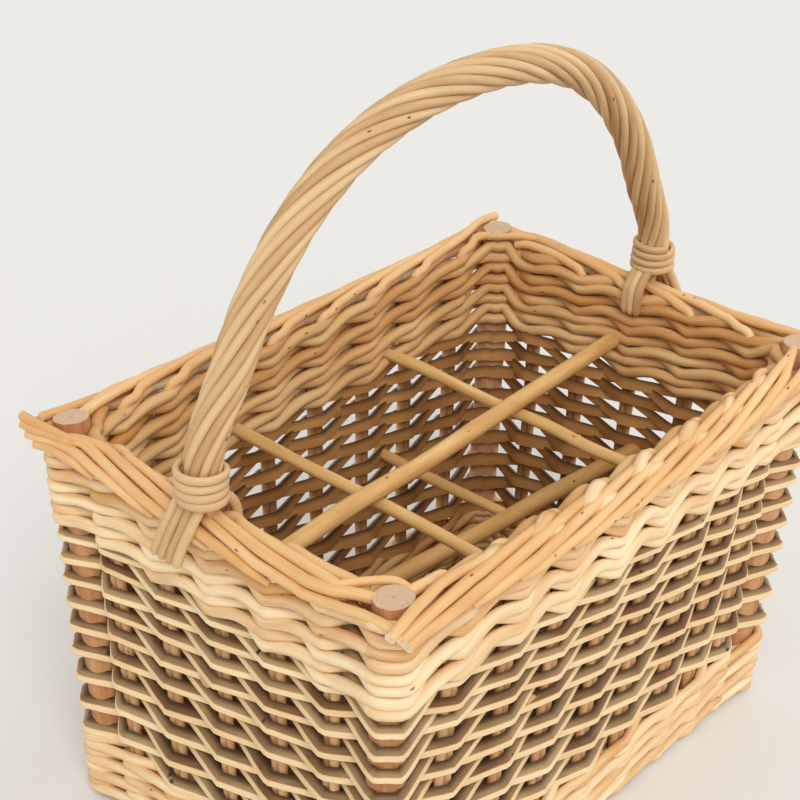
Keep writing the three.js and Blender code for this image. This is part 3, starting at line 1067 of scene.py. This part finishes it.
@dataclass
class SplitWeave(Assembly):
    """The courses of split willow between the two bands of waling, closer together towards the top."""

    skin: Skin = Skin(
        SPLIT, "split_willow",
        Section(sides=12, step=2.4, flat=0.0, deep=3.5, slant=0.9, keel=11.7, level=True),
    )
    courses: int = 18
    first: float = 46.0
    first_pitch: float = 8.9
    last_pitch: float = 5.8
    half_width: float = 1.25
    lowest_share: float = 1.12
    thinner: float = 0.27
    uneven: Pair = (0.92, 1.08)
    lift: float = 1.2
    gap: float = 4.8
    stray: float = 0.65
    inner_swell: float = 1.2
    seed: int = 23
    tones: int = 100

    def build(self) -> None:
        """Makes one ring for each course."""
        plan = self.shop.plan
        chance = random.Random(self.seed)
        for course in range(self.courses):
            passes = [Pass((stop + course) % 2 == 0) for stop in range(len(plan.stops()))]
            height = self._height(course) + self.lift
            path = Course(plan, height, self.gap, self.gap, self.stray).path(passes, chance)
            size = self.half_width * (self.lowest_share - self.thinner * course / (self.courses - 1))
            radius = [size * chance.uniform(*self.uneven) * self._swell(point) for point in path]
            rod = Rod(path, radius, closed=True)
            number = f"course_{course + 1:02d}"
            self.lay(f"split_{number}", [rod], [f"weave_{number}"], self.skin, self.tones + course)

    def _swell(self, point: Vector) -> float:
        """How much thicker a rod is where it goes inside the line of the uprights.

        Args:
            point: A point on the rod.

        Returns:
            The thickness there as a share of that outside.
        """
        plan = self.shop.plan
        edge = plan.wall_out - plan.inset(point.z)
        is_inside = abs(point.x) < plan.post_x + edge and abs(point.y) < plan.post_y + edge
        return self.inner_swell if is_inside else 1.0

    def _height(self, course: int) -> float:
        """Height of a course at the posts, counted from the bottom."""
        closer = (self.first_pitch - self.last_pitch) / (self.courses - 2)
        return self.first + self.first_pitch * course - closer * course * (course - 1) / 2


@dataclass
class Waling(Assembly):
    """A band of four-rod waling: each rod rises as it goes before two stops and drops behind two."""

    STRANDS = 4

    skin: Skin = Skin(CREAM, "white_willow")
    label: str = "upper"
    rings: int = 5
    courses: int = 4
    low: float = 172.6
    high: float = 224.6
    radius: float = 3.15
    uneven: Pair = (0.92, 1.07)
    outer: float = 5.6
    inner: float = 5.4
    stray: float = 0.35
    tilt: float = 0.4
    hold: float = 2.0
    swing: float = 1.25
    seam: int = 15
    seed: int = 31

    def build(self) -> None:
        """Makes the band as one piece."""
        plan = self.shop.plan
        chance = random.Random(self.seed)
        rise = (self.high - self.low) / self.courses
        drop = rise / self.STRANDS
        by_turn = (
            Pass(True, -drop, 0.0, self.tilt, self.hold),
            Pass(True, drop, drop * self.swing, self.tilt, self.hold),
            Pass(False, drop, 0.0, -self.tilt, self.hold),
            Pass(False, -drop, -drop * self.swing, -self.tilt, self.hold),
        )
        stops = len(plan.stops())
        turns = [(stop + self.seam) % stops for stop in range(stops)]
        rods = []
        for number in range(self.courses):
            height = self.low + rise * (number + 0.5)
            course = Course(plan, height, self.outer, self.inner, self.stray)
            for strand in range(self.STRANDS):
                path = course.path([by_turn[(turn - strand) % self.STRANDS] for turn in turns], chance)
                radius = [self.radius * chance.uniform(*self.uneven) for _ in path]
                rods.append(Rod(path, radius, closed=True))
        nodes = [f"{self.label}_wale_{ring + 1}" for ring in range(self.rings)]
        self.lay(f"{self.label}_waling", rods, nodes, self.skin, self.seed)


@dataclass
class UprightsAndBorder(Assembly):
    """One wall's pairs of upright rods, bent over at the rim and laid along it as its border.

    A lane is a place in the border's section: its distance outwards from the uprights, and its height. A
    step has a distance along the wall before those two: on from the upright in the knuckle, past the post in
    the beak, and before the post in the ends.
    """

    wall: Wall = Wall.FRONT
    upright_skin: Skin = Skin(STAKE, "buff_stick", Section(sides=8, step=5))
    border_skin: Skin = Skin(HONEY, "honey_willow", Section(step=2.5, uneven=0.02))
    rod: float = 2.45
    rod_uneven: Pair = (0.95, 1.08)
    heights: tuple[float, ...] = (0.8, 50, 100, 150, 190, 216)
    overlap: float = 0.1
    stray_along: float = 0.25
    stray_out: float = 0.2
    border_rod: float = 2.6
    border_uneven: Pair = (0.93, 1.07)
    border_stray: float = 0.15
    pitch: float = 39.0
    step: float = 8.0
    lanes: tuple[Pair, ...] = ((-4.2, 226.5), (1.5, 229.0), (7.0, 228.0), (11.5, 224.0), (12.0, 219.0))
    tuck: Pair = (9.2, 214.8)
    tuck_taper: float = 0.6
    knuckle: tuple[Step, ...] = (
        (0.0, 0.4, 204.0), (0.0, -2.4, 215.0), (0.8, -4.3, 222.0), (4.0, -4.8, 225.8), (10.0, -4.5, 226.6),
    )
    knuckle_length: float = 17.0
    corner: float = 40.0
    end_gap: float = 6.0
    long_ends: tuple[tuple[Step, ...], ...] = (
        ((20.0, -2.4, 228.6), (14.0, -2.8, 228.2), (7.5, -3.2, 226.4)),
        (
            (38.0, 1.2, 229.2), (22.0, 3.4, 230.2), (8.0, 7.3, 230.4),
            (0.0, 9.3, 230.2), (-12.0, 12.2, 229.4), (-21.0, 14.0, 228.4),
        ),
        (
            (38.0, 6.7, 228.0), (22.0, 8.9, 226.6), (6.0, 11.2, 225.2),
            (-6.0, 13.0, 224.6), (-15.0, 14.6, 224.2),
        ),
        ((38.0, 11.3, 224.2), (18.0, 12.8, 221.2), (0.0, 13.8, 219.3), (-11.0, 15.0, 218.9)),
    )
    short_ends: tuple[tuple[Step, ...], ...] = (
        ((36.0, -2.4, 227.3), (24.0, -3.4, 226.9), (16.0, -4.8, 224.5)),
        ((36.0, 3.6, 228.7), (26.0, 4.4, 228.2), (18.0, 4.8, 225.6)),
        ((36.0, 8.9, 226.8), (24.0, 7.4, 227.2), (15.0, 3.4, 227.4), (6.5, -0.6, 226.0)),
        (
            (36.0, 12.0, 222.2), (18.0, 10.6, 223.2), (5.0, 9.2, 224.0),
            (-6.0, 8.8, 224.2), (-11.0, 8.6, 224.2),
        ),
    )
    behind_post: tuple[Step, ...] = (
        (27.0, 6.8, 227.6), (17.0, -3.0, 229.6), (8.0, -12.4, 229.0), (0.0, -14.0, 226.5),
    )
    behind_share: float = 0.8
    back_end: float = -12.0
    back_out: float = 8.4
    by_post: float = 8.7
    by_post_length: float = 10.0
    by_post_slope: float = 0.35
    long_start: float = 9.0
    inner_lanes: float = 1.5
    inner_start: float = 7.5
    inner_slope: float = 0.4
    inner_depth: float = 2.5
    beak: tuple[Step, ...] = (
        (22.0, 9.2, 225.6), (21.0, 10.2, 221.8), (17.0, 11.0, 218.0), (11.0, 11.4, 214.4),
    )
    beak_start: float = 22.0
    beak_length: float = 36.0
    beak_taper: float = 0.08
    seed: int = 41
    upright_tones: int = 200
    border_tones: int = 220

    @property
    def way(self) -> int:
        """Which way the border is laid: 1 as the weaver goes, -1 against it."""
        return -1 if self.wall.is_long else 1

    @property
    def half(self) -> float:
        """Distance from the wall's middle to its posts."""
        return self.shop.plan.half(self.wall)

    @property
    def roots(self) -> tuple[float, ...]:
        """Places of the uprights that go into the border: on a short wall the last one ends below it."""
        places = self.shop.plan.uprights(self.wall)
        return places if self.wall.is_long else places[:-1]

    def build(self) -> None:
        """Makes the uprights and the border of the wall."""
        label = self.wall.label
        nodes = [f"{label}_uprights_and_border"]
        chance = random.Random(self.seed + self.wall.value)
        tones = self.upright_tones + self.wall.value
        self.lay(f"uprights_{label}", self._uprights(chance), nodes, self.upright_skin, tones)
        tones = self.border_tones + self.wall.value
        self.lay(f"border_{label}", self._border(chance), nodes, self.border_skin, tones)

    def _uprights(self, chance: random.Random) -> list[Rod]:
        """The pairs of rods, without the middle of a short wall, where the handle goes down.

        Args:
            chance: Where they stray.

        Returns:
            The rods.
        """
        rods = []
        plan = self.shop.plan
        places = [along for along in plan.uprights(self.wall) if self.wall.is_long or along != 0]
        for along in places:
            for side in (-1, 1):
                path = []
                for height in self.heights:
                    place = along + side * (self.rod - self.overlap) + chance.gauss(0, self.stray_along)
                    path.append(plan.spot(self.wall, place, chance.gauss(0, self.stray_out), height))
                rods.append(Rod.even(path, self.rod * chance.uniform(*self.rod_uneven)))
        return rods

    def _border(self, chance: random.Random) -> list[Rod]:
        """The rods of the border: one from each upright, and those laid in where the border starts.

        Args:
            chance: Where they stray.

        Returns:
            The rods.
        """
        first = self.roots[0] if self.way > 0 else self.roots[-1]
        rods = [self._border_rod(root, chance) for root in self.roots]
        for number, tip in enumerate(self.beak, 1):
            rods.append(self._border_rod(first - self.way * self.pitch * number, chance, tip))
        if not self.wall.is_long:
            path = self._spots(self.behind_post, self.half, -1)
            rods.append(Rod.even(path, self.border_rod * self.behind_share))
        return rods

    def _spots(self, steps: Sequence[Step], start: float, way: int) -> list[Vector]:
        """The points of some steps, counted one way along the wall from a start."""
        return [self.shop.plan.spot(self.wall, start + way * ahead, *place) for ahead, *place in steps]

    def _border_rod(self, root: float, chance: random.Random, tip: Step | None = None) -> Rod:
        """One rod of the border, from its knuckle or its laid-in end to where it is tucked away or cut.

        Args:
            root: The place of its upright, which is past the corner for a rod that is laid in.
            chance: Where it strays.
            tip: The end of a rod that is laid in, as a step of the beak.

        Returns:
            The rod.
        """
        plan, way = self.shop.plan, self.way
        path = [] if tip else self._spots(self.knuckle, root, way)
        start = self._start(root, tip) if tip else way * root + self.knuckle_length
        radius = self.border_rod * chance.uniform(*self.border_uneven)
        stray, rise = chance.gauss(0, self.border_stray), chance.gauss(0, self.border_stray)
        sizes = [radius] * len(path)
        gone = start
        while gone < self.half - self.corner:
            lane = self._lane_at(root, gone * way)
            if lane > len(self.lanes) - 1:
                break
            out, height, close = (*self._lane(lane), 0.0)
            if tip:
                out, height, close = self._laid_in(start, gone, (out, height), tip)
            path.append(plan.spot(self.wall, gone * way, out + stray, height + rise))
            sizes.append(radius * (1 - self.beak_taper * close))
            gone += self.step
        ends = self.long_ends if self.wall.is_long else self.short_ends
        rank = sum(way * other > way * root for other in self.roots)
        if rank < len(ends):
            last = self._last_steps(ends[rank], gone)
            path += self._spots(last, self.half * way, -way)
            sizes += [radius] * len(last)
        else:
            path.append(plan.spot(self.wall, gone * way, *self.tuck))
            sizes.append(radius * self.tuck_taper)
        return Rod(path, sizes)

    def _start(self, root: float, tip: Step) -> float:
        """Where a rod that is laid in starts: past the post, or after it in the inner lanes of a long wall.

        Args:
            root: The place where its upright would be.
            tip: Its end as a step of the beak.

        Returns:
            The distance from the wall's middle, the way the border is laid.
        """
        if not self.wall.is_long:
            return -self.half - tip[0]
        is_inner = self._lane_at(root, -self.half * self.way) < self.inner_lanes
        return self.inner_start - self.half if is_inner else -self.half - self.long_start

    def _laid_in(self, start: float, gone: float, lane: Pair, tip: Step) -> Step:
        """Leads a rod that is laid in round the post, and on a short wall into the beak.

        Args:
            start: Where the rod starts.
            gone: How far along the wall it is.
            lane: Its lane's distance outwards and height.
            tip: Its end as a step of the beak.

        Returns:
            Its distance outwards, its height, and how far it is drawn into the beak, from 0 to 1.
        """
        out, height = lane
        if self.wall.is_long and start > -self.half:
            return min(out, (gone - start) * self.inner_slope - self.inner_depth), height, 0.0
        past = max(0.0, self.half + gone - self.by_post_length)
        out = max(out, self.by_post - past * self.by_post_slope)
        if self.wall.is_long:
            return out, height, 0.0
        close = max(0.0, min(1.0, (self.beak_start - self.half - gone) / self.beak_length))
        return out + (tip[1] - out) * close, height + (tip[2] - height) * close, close

    def _last_steps(self, steps: Sequence[Step], gone: float) -> list[Step]:
        """The steps at the end of a rod that still lie ahead, kept short and close at the back wall.

        Args:
            steps: All the steps of that end.
            gone: How far along the wall the rod is.

        Returns:
            The steps that are left.
        """
        is_back = self.wall is Wall.BACK
        limit = self.back_end if is_back else -self.half
        left = []
        for before, out, height in steps:
            if self.half - before > gone - self.end_gap and before >= limit:
                left.append((before, min(out, self.back_out) if is_back and before <= 0 else out, height))
        return left

    def _lane_at(self, root: float, along: float) -> float:
        """How many lanes the rod from a root has moved outwards: one for each upright that it has passed."""
        return max(0.0, self.way * (self._count(along) - self._count(root)))

    def _count(self, along: float) -> float:
        """How many uprights there are up to a place, with parts of one between two.

        Args:
            along: The place along the wall.

        Returns:
            The number, which goes on at the usual pitch past the first and the last, at half of it past the
            last of a short wall.
        """
        places = self.roots
        if along <= places[0]:
            return (along - places[0]) / self.pitch
        for number, (here, following) in enumerate(zip(places, places[1:])):
            if along <= following:
                return number + (along - here) / (following - here)
        last_pitch = self.pitch if self.wall.is_long else 2 * self.pitch
        return len(places) - 1 + (along - places[-1]) / last_pitch

    def _lane(self, lane: float) -> Pair:
        """Place of a lane in the border's section, from its inner edge over the top to its outer edge.

        Args:
            lane: The lane's number, with parts of one.

        Returns:
            Distance outwards and height.
        """
        first = min(int(lane), len(self.lanes) - 2)
        part = lane - first
        (out, height), (next_out, next_height) = self.lanes[first], self.lanes[first + 1]
        return out + (next_out - out) * part, height + (next_height - height) * part


@dataclass
class Dividers(Assembly):
    """Two layers of sticks that part the bottles: one long stick over two short ones."""

    skin: Skin = Skin(BUFF, "buff_stick", Section(sides=16, step=4, uneven=0.04))
    long_radius: float = 4.7
    cross_radius: float = 3.3
    uneven: Pair = (0.95, 1.06)
    skew: float = 11.0
    past_wall: float = 2.5
    bends: int = 7
    wander: float = 0.8
    wander_up: float = 0.4
    seed: int = 53
    tones: int = 300

    def build(self) -> None:
        """Makes the six sticks."""
        plan = self.shop.plan
        chance = random.Random(self.seed)
        for layer, way in (("upper", 1), ("lower", -1)):
            node = f"{layer}_long_divider"
            height = middle_of(node).z
            reach = plan.post_x + plan.wall_out - plan.inset(height) + self.past_wall
            ends = Vector((-reach, -self.skew * way, height)), Vector((reach, self.skew * way, height))
            self._stick(node, *ends, self.long_radius, chance)
            for number in (1, 2):
                node = f"{layer}_cross_divider_{number}"
                place = middle_of(node)
                reach = plan.post_y + plan.wall_out - plan.inset(place.z) + self.past_wall
                ends = Vector((place.x, -reach, place.z)), Vector((place.x, reach, place.z))
                self._stick(node, *ends, self.cross_radius, chance)

    def _stick(self, node: str, start: Vector, end: Vector, radius: float, chance: random.Random) -> None:
        """One stick with the slight bends that it grew with.

        Args:
            node: The solid that it stands for.
            start: One end.
            end: The other end.
            radius: Its radius.
            chance: Where it bends.
        """
        side = (end - start).cross(Vector((0, 0, 1))).normalized()
        path = [start + (end - start) * step / self.bends for step in range(self.bends + 1)]
        for point in path[1:-1]:
            point += side * chance.gauss(0, self.wander)
            point.z += chance.gauss(0, self.wander * self.wander_up)
        rod = Rod(path, [radius * chance.uniform(*self.uneven) for _ in path])
        self.lay(f"{node}_stick", [rod], [node], self.skin, len(self.pieces) + self.tones)


@dataclass
class Base(Assembly):
    """Four sticks the length of the base, with brown rods woven across them."""

    stick_skin: Skin = Skin(BROWN, "base_willow")
    mat_skin: Skin = Skin(BROWN, "base_willow", Section(sides=8, step=4))
    sticks_y: tuple[float, ...] = (-58.5, -19.5, 19.0, 55.0)
    stick_radius: float = 3.2
    stick_past: float = 4.0
    stick_points: tuple[float, ...] = (-70, 0, 70)
    rod: float = 2.6
    rod_gap: float = 0.25
    uneven: Pair = (0.92, 1.05)
    half_x: float = 147.6
    half_y: float = 91.0
    notch: float = 8.0
    swing: float = 3.4
    stray: float = 0.2
    seed: int = 61
    stick_tones: int = 400
    mat_tones: int = 410

    def build(self) -> None:
        """Makes the sticks and the mat."""
        chance = random.Random(self.seed)
        height = middle_of("base_stick_1").z
        end = self.half_x + self.stick_past
        for number, y in enumerate(self.sticks_y):
            path = [Vector((x, y, height)) for x in (-end, *self.stick_points, end)]
            stick = Rod.even(path, self.stick_radius)
            nodes = [f"base_stick_{number + 1}"]
            self.lay(f"base_rod_{number + 1}", [stick], nodes, self.stick_skin, self.stick_tones + number)
        count = int(2 * self.half_x / (2 * self.rod + self.rod_gap))
        rods = [self._mat_rod(number, count, height, chance) for number in range(count)]
        self.lay("base_mat", rods, ["base_weave"], self.mat_skin, self.mat_tones)

    def _mat_rod(self, number: int, count: int, height: float, chance: random.Random) -> Rod:
        """One rod of the mat, over one stick and under the next.

        Args:
            number: Its place in the mat.
            count: How many rods the mat has.
            height: The height of the sticks.
            chance: Where it strays.

        Returns:
            The rod.
        """
        x = -self.half_x + 2 * self.half_x * (number + 0.5) / count
        side = 1 if number % 2 else -1
        half_y = self.half_y - (self.notch if abs(x) > self.half_x - self.notch else 0.0)
        path = [Vector((x, -half_y, height))]
        for order, y in enumerate(self.sticks_y):
            over = side * (1 if order % 2 else -1)
            lift = over * (self.swing + self.stick_radius * 0.5) + chance.gauss(0, self.stray)
            path.append(Vector((x + chance.gauss(0, self.stray), y, height + lift)))
        path.append(Vector((x, half_y, height)))
        return Rod.even(path, self.rod * chance.uniform(*self.uneven))


@dataclass
class BowHandle(Assembly):
    """A bow of rods twisted together, bound at each foot by a wound rod, its tails laid over the border.

    Each line is a row of points, as a distance from the basket's middle and a height.
    """

    COLLAR_STEPS = 16

    skin: Skin = Skin(STRAW, "handle_willow")
    tongue_skin: Skin = Skin(STAKE, "handle_willow")
    collar_skin: Skin = Skin(STRAW, "handle_willow", Section(step=2, deep=0.74, level=True))
    tail_skin: Skin = Skin(STRAW, "handle_willow", Section(step=2))
    half_line: tuple[Pair, ...] = (
        (170.0, 234.0), (170.0, 244.0), (168.6, 256.0), (163.5, 270.0), (153.5, 288.0), (137.0, 319.0),
        (113.0, 347.5), (82.0, 369.0), (44.0, 381.5),
    )
    apex: float = 385.5
    radius: float = 9.6
    foot_radius: float = 8.5
    foot_steps: tuple[int, ...] = (0, 0, 1, 2)
    strands: int = 10
    turns: float = 3.0
    strand_place: float = 0.76
    strand_share: float = 0.24
    collar_radius: float = 10.7
    collar_rod: float = 2.15
    collar_turns: float = 3.6
    collar_low: float = 235.0
    collar_pitch: float = 4.3
    collar_start: float = 0.9
    collar_out: float = 0.4
    collar_wave: float = 0.3
    collar_wave_step: float = 0.7
    collar_tilt: float = 0.8
    tongue_rod: float = 2.2
    tongue_heights: tuple[float, ...] = (1.0, 60, 120, 180, 205, 214)
    tongue_top: tuple[float, ...] = (232, 240)
    tail_radius: float = 2.4
    tail_tip: float = 1.6
    tail_taper: float = 0.45
    tail_stray: float = 0.2
    tail_line: tuple[Pair, ...] = (
        (170.5, 244.0), (173.4, 236.0), (176.6, 228.4), (179.5, 220.4), (181.7, 212.4), (183.2, 204.5),
    )
    tail_roots: tuple[float, ...] = (-6.6, -2.2, 2.2, 6.6)
    tail_tips: tuple[float, ...] = (-18.0, -13.1, -8.2, -3.3)
    inner_line: tuple[Pair, ...] = (
        (167.0, 244.0), (162.4, 236.4), (156.8, 230.2), (153.6, 224.0), (153.2, 212.5),
    )
    inner_spread: tuple[float, ...] = (-3.9, 0.0, 3.9)
    seed: int = 71
    bow_tones: int = 501
    tongue_tones: int = 505
    collar_tones: int = 510
    outer_tones: int = 520
    inner_tones: int = 530

    def build(self) -> None:
        """Makes the bow, and the tongue, collar and tails of each foot."""
        bow = {"Strands": self.strands, "Turns": self.turns}
        bow |= {"Lay": self.strand_place, "Share": self.strand_share}
        self.lay("handle_strands", [self._bow()], ["handle_bow"], self.skin, self.bow_tones, bow)
        for wall, end in ((Wall.LEFT, -1), (Wall.RIGHT, 1)):
            chance = random.Random(self.seed + end)
            tails = zip(self.tail_roots, self.tail_tips)
            outer = [self._tail(end, self.tail_line, root, tip, chance) for root, tip in tails]
            inner = [self._tail(end, self.inner_line, y, y, chance) for y in self.inner_spread]
            label = wall.label
            tongue = self._tongue(wall, end)
            tones = self.tongue_tones + end
            self.lay(f"handle_tongue_{label}", tongue, ["handle_bow"], self.tongue_skin, tones)
            for name, rods, skin, tones in (
                (f"collar_{label}", [self._collar(end)], self.collar_skin, self.collar_tones),
                (f"outer_tails_{label}", outer, self.tail_skin, self.outer_tones),
                (f"inner_tails_{label}", inner, self.tail_skin, self.inner_tones),
            ):
                self.lay(name, rods, [f"handle_{name}"], skin, tones + end)

    def _bow(self) -> Rod:
        """The middle of the bow, thinner at its feet.

        Returns:
            The path with the radius of the whole bundle.
        """
        left = [Vector((-x, 0, z)) for x, z in self.half_line]
        right = [Vector((x, 0, z)) for x, z in reversed(self.half_line)]
        rod = Rod.even([*left, Vector((0, 0, self.apex)), *right], self.radius)
        swell = (self.radius - self.foot_radius) / (max(self.foot_steps) + 1)
        for place, steps in enumerate(self.foot_steps):
            rod.radius[place] = rod.radius[-1 - place] = self.foot_radius + swell * steps
        return rod

    def _tongue(self, wall: Wall, end: int) -> list[Rod]:
        """The two rods of the bow that go on down the middle of a short wall.

        Args:
            wall: The wall.
            end: -1 at the left and 1 at the right.

        Returns:
            The rods.
        """
        rods = []
        for side in (-self.tongue_rod, self.tongue_rod):
            path = [self.shop.plan.spot(wall, side, 0, height) for height in self.tongue_heights]
            path += [Vector((end * self.half_line[0][0], end * side, height)) for height in self.tongue_top]
            rods.append(Rod.even(path, self.tongue_rod))
        return rods

    def _collar(self, end: int) -> Rod:
        """The rod wound round one foot.

        Args:
            end: -1 at the left and 1 at the right.

        Returns:
            The rod.
        """
        path = []
        for step in range(int(self.collar_turns * self.COLLAR_STEPS) + 1):
            turn = math.tau * step / self.COLLAR_STEPS + self.collar_start
            reach = self.collar_radius + self.collar_wave * math.sin(step * self.collar_wave_step)
            climb = self.collar_pitch * step / self.COLLAR_STEPS
            x = end * (self.half_line[1][0] + self.collar_out) + reach * math.cos(turn)
            height = self.collar_low + climb + self.collar_tilt * math.sin(turn)
            path.append(Vector((x, end * reach * math.sin(turn), height)))
        return Rod.even(path, self.collar_rod)

    def _tail(self, end: int, line: Sequence[Pair], root: float, tip: float, chance: random.Random) -> Rod:
        """One tail that leaves the collar and lies over the border.

        Args:
            end: -1 at the left and 1 at the right.
            line: Its distance from the middle and its height, point by point.
            root: Where it starts across the handle.
            tip: Where it ends across the handle.
            chance: Where it strays.

        Returns:
            The rod.
        """
        path = []
        for number, (x, z) in enumerate(line):
            share = number / (len(line) - 1)
            y = root + (tip - root) * share + chance.gauss(0, self.tail_stray)
            path.append(Vector((end * x, end * y, z)))
        last = path[-1] - path[-2]
        path.append(path[-1] + last.normalized() * self.tail_tip)
        rod = Rod.even(path, self.tail_radius)
        rod.radius[-1] *= self.tail_taper
        return rod


@dataclass(frozen=True)
class Lamp:
    """A soft lamp, so far away that it lights the floor evenly.

    It has the way to it from the basket, its width in degrees and its power.
    """

    name: str
    toward: Step
    width: float
    power: float

    def build(self) -> None:
        """Hangs the lamp."""
        lamp = bpy.data.lights.new(self.name, "SUN")
        lamp.angle = math.radians(self.width)
        lamp.energy = self.power
        holder = show(self.name, lamp)
        holder.location = self.toward
        holder.rotation_euler = Vector(self.toward).to_track_quat("Z", "Y").to_euler()


@dataclass
class Studio:
    """A pale floor, soft lamps, and the camera at the photograph's place."""

    eye: Step = (-591.45, -475.58, 641.87)
    azimuth: float = -49.133
    elevation: float = 29.389
    roll: float = 2.207
    lens: float = 77.66
    sensor: float = 36.0
    nearest: float = 10.0
    floor_size: float = 80000.0
    floor_tint: Tint = tint(229, 227, 223)
    floor_roughness: float = 0.9
    floor_gloss: float = 0.1
    light_tint: Tint = (1.0, 1.0, 1.0, 1.0)
    light_strength: float = 0.68
    sky_tint: Tint = tint(237, 236, 232)
    lamps: tuple[Lamp, ...] = (
        Lamp("key_light", (-0.9, -1.15, 1.4), 32, 1.45),
        Lamp("side_light", (1.6, -0.6, 1.05), 33, 0.5),
    )

    def build(self) -> None:
        """Makes the stage, the light and the camera."""
        self._floor()
        self._world()
        for lamp in self.lamps:
            lamp.build()
        self._camera()
        bpy.context.scene.view_settings.view_transform = "Standard"

    def _floor(self) -> None:
        """One wide pale sheet."""
        half = self.floor_size * MM / 2
        mesh = bpy.data.meshes.new("floor")
        corners = [(-half, -half, 0), (half, -half, 0), (half, half, 0), (-half, half, 0)]
        mesh.from_pydata(corners, [], [(0, 1, 2, 3)])
        material = bpy.data.materials.new("pale_floor")
        material.use_nodes = True
        shader = material.node_tree.nodes["Principled BSDF"]
        shader.inputs["Base Color"].default_value = self.floor_tint
        shader.inputs["Roughness"].default_value = self.floor_roughness
        shader.inputs["Specular IOR Level"].default_value = self.floor_gloss
        mesh.materials.append(material)
        floor = show("floor", mesh)

    def _world(self) -> None:
        """A pale world that lights the basket, with a sky of its own tint where it is seen or mirrored."""
        world = bpy.data.worlds.new("studio")
        world.use_nodes = True
        world.node_tree.nodes.clear()
        g = Graph(world.node_tree)
        light = g.wire("ShaderNodeBackground", {"Color": self.light_tint, "Strength": self.light_strength})
        sky = g.wire("ShaderNodeBackground", {"Color": self.sky_tint, "Strength": 1.0})
        rays = g.node("ShaderNodeLightPath").outputs
        mirrored = g.math("MAXIMUM", rays["Is Glossy Ray"], rays["Is Transmission Ray"])
        seen = g.math("MAXIMUM", rays["Is Camera Ray"], mirrored)
        surface = g.wire("ShaderNodeMixShader", {0: seen, 1: light, 2: sky})
        g.node("ShaderNodeOutputWorld", {"Surface": surface})
        bpy.context.scene.world = world

    def _camera(self) -> None:
        """The camera, turned by its azimuth, elevation and roll."""
        turn, lift, roll = (math.radians(angle) for angle in (self.azimuth, self.elevation, self.roll))
        back = Vector((math.sin(turn) * math.cos(lift), -math.cos(turn) * math.cos(lift), math.sin(lift)))
        right = Vector((math.cos(turn), math.sin(turn), 0))
        up = back.cross(right)
        rolled_right = right * math.cos(roll) + up * math.sin(roll)
        rolled_up = up * math.cos(roll) - right * math.sin(roll)
        data = bpy.data.cameras.new("camera")
        data.lens = self.lens
        data.sensor_width = self.sensor
        data.clip_start = self.nearest * MM
        camera = show("camera", data)
        axes = Matrix((rolled_right, rolled_up, back)).transposed().to_4x4()
        camera.matrix_world = Matrix.Translation(Vector(self.eye) * MM) @ axes
        bpy.context.scene.camera = camera


def main() -> None:
    """Builds and dresses every sub-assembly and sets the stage."""
    logging.basicConfig(level=logging.INFO, format="%(message)s")
    plan = Plan()
    shop = Shop(plan, Loom(), Effects(plan))
    assemblies: list[Assembly] = [
        CornerPosts(shop),
        *(UprightsAndBorder(shop, wall=wall) for wall in Wall),
        SplitWeave(shop),
        Waling(shop),
        Waling(shop, label="lower", low=3.2, high=42.4, radius=2.75, seed=37),
        Dividers(shop),
        Base(shop),
        BowHandle(shop),
    ]
    for assembly in assemblies:
        assembly.build()
        assembly.dress()
    Studio().build()


if __name__ == "__main__":
    main()
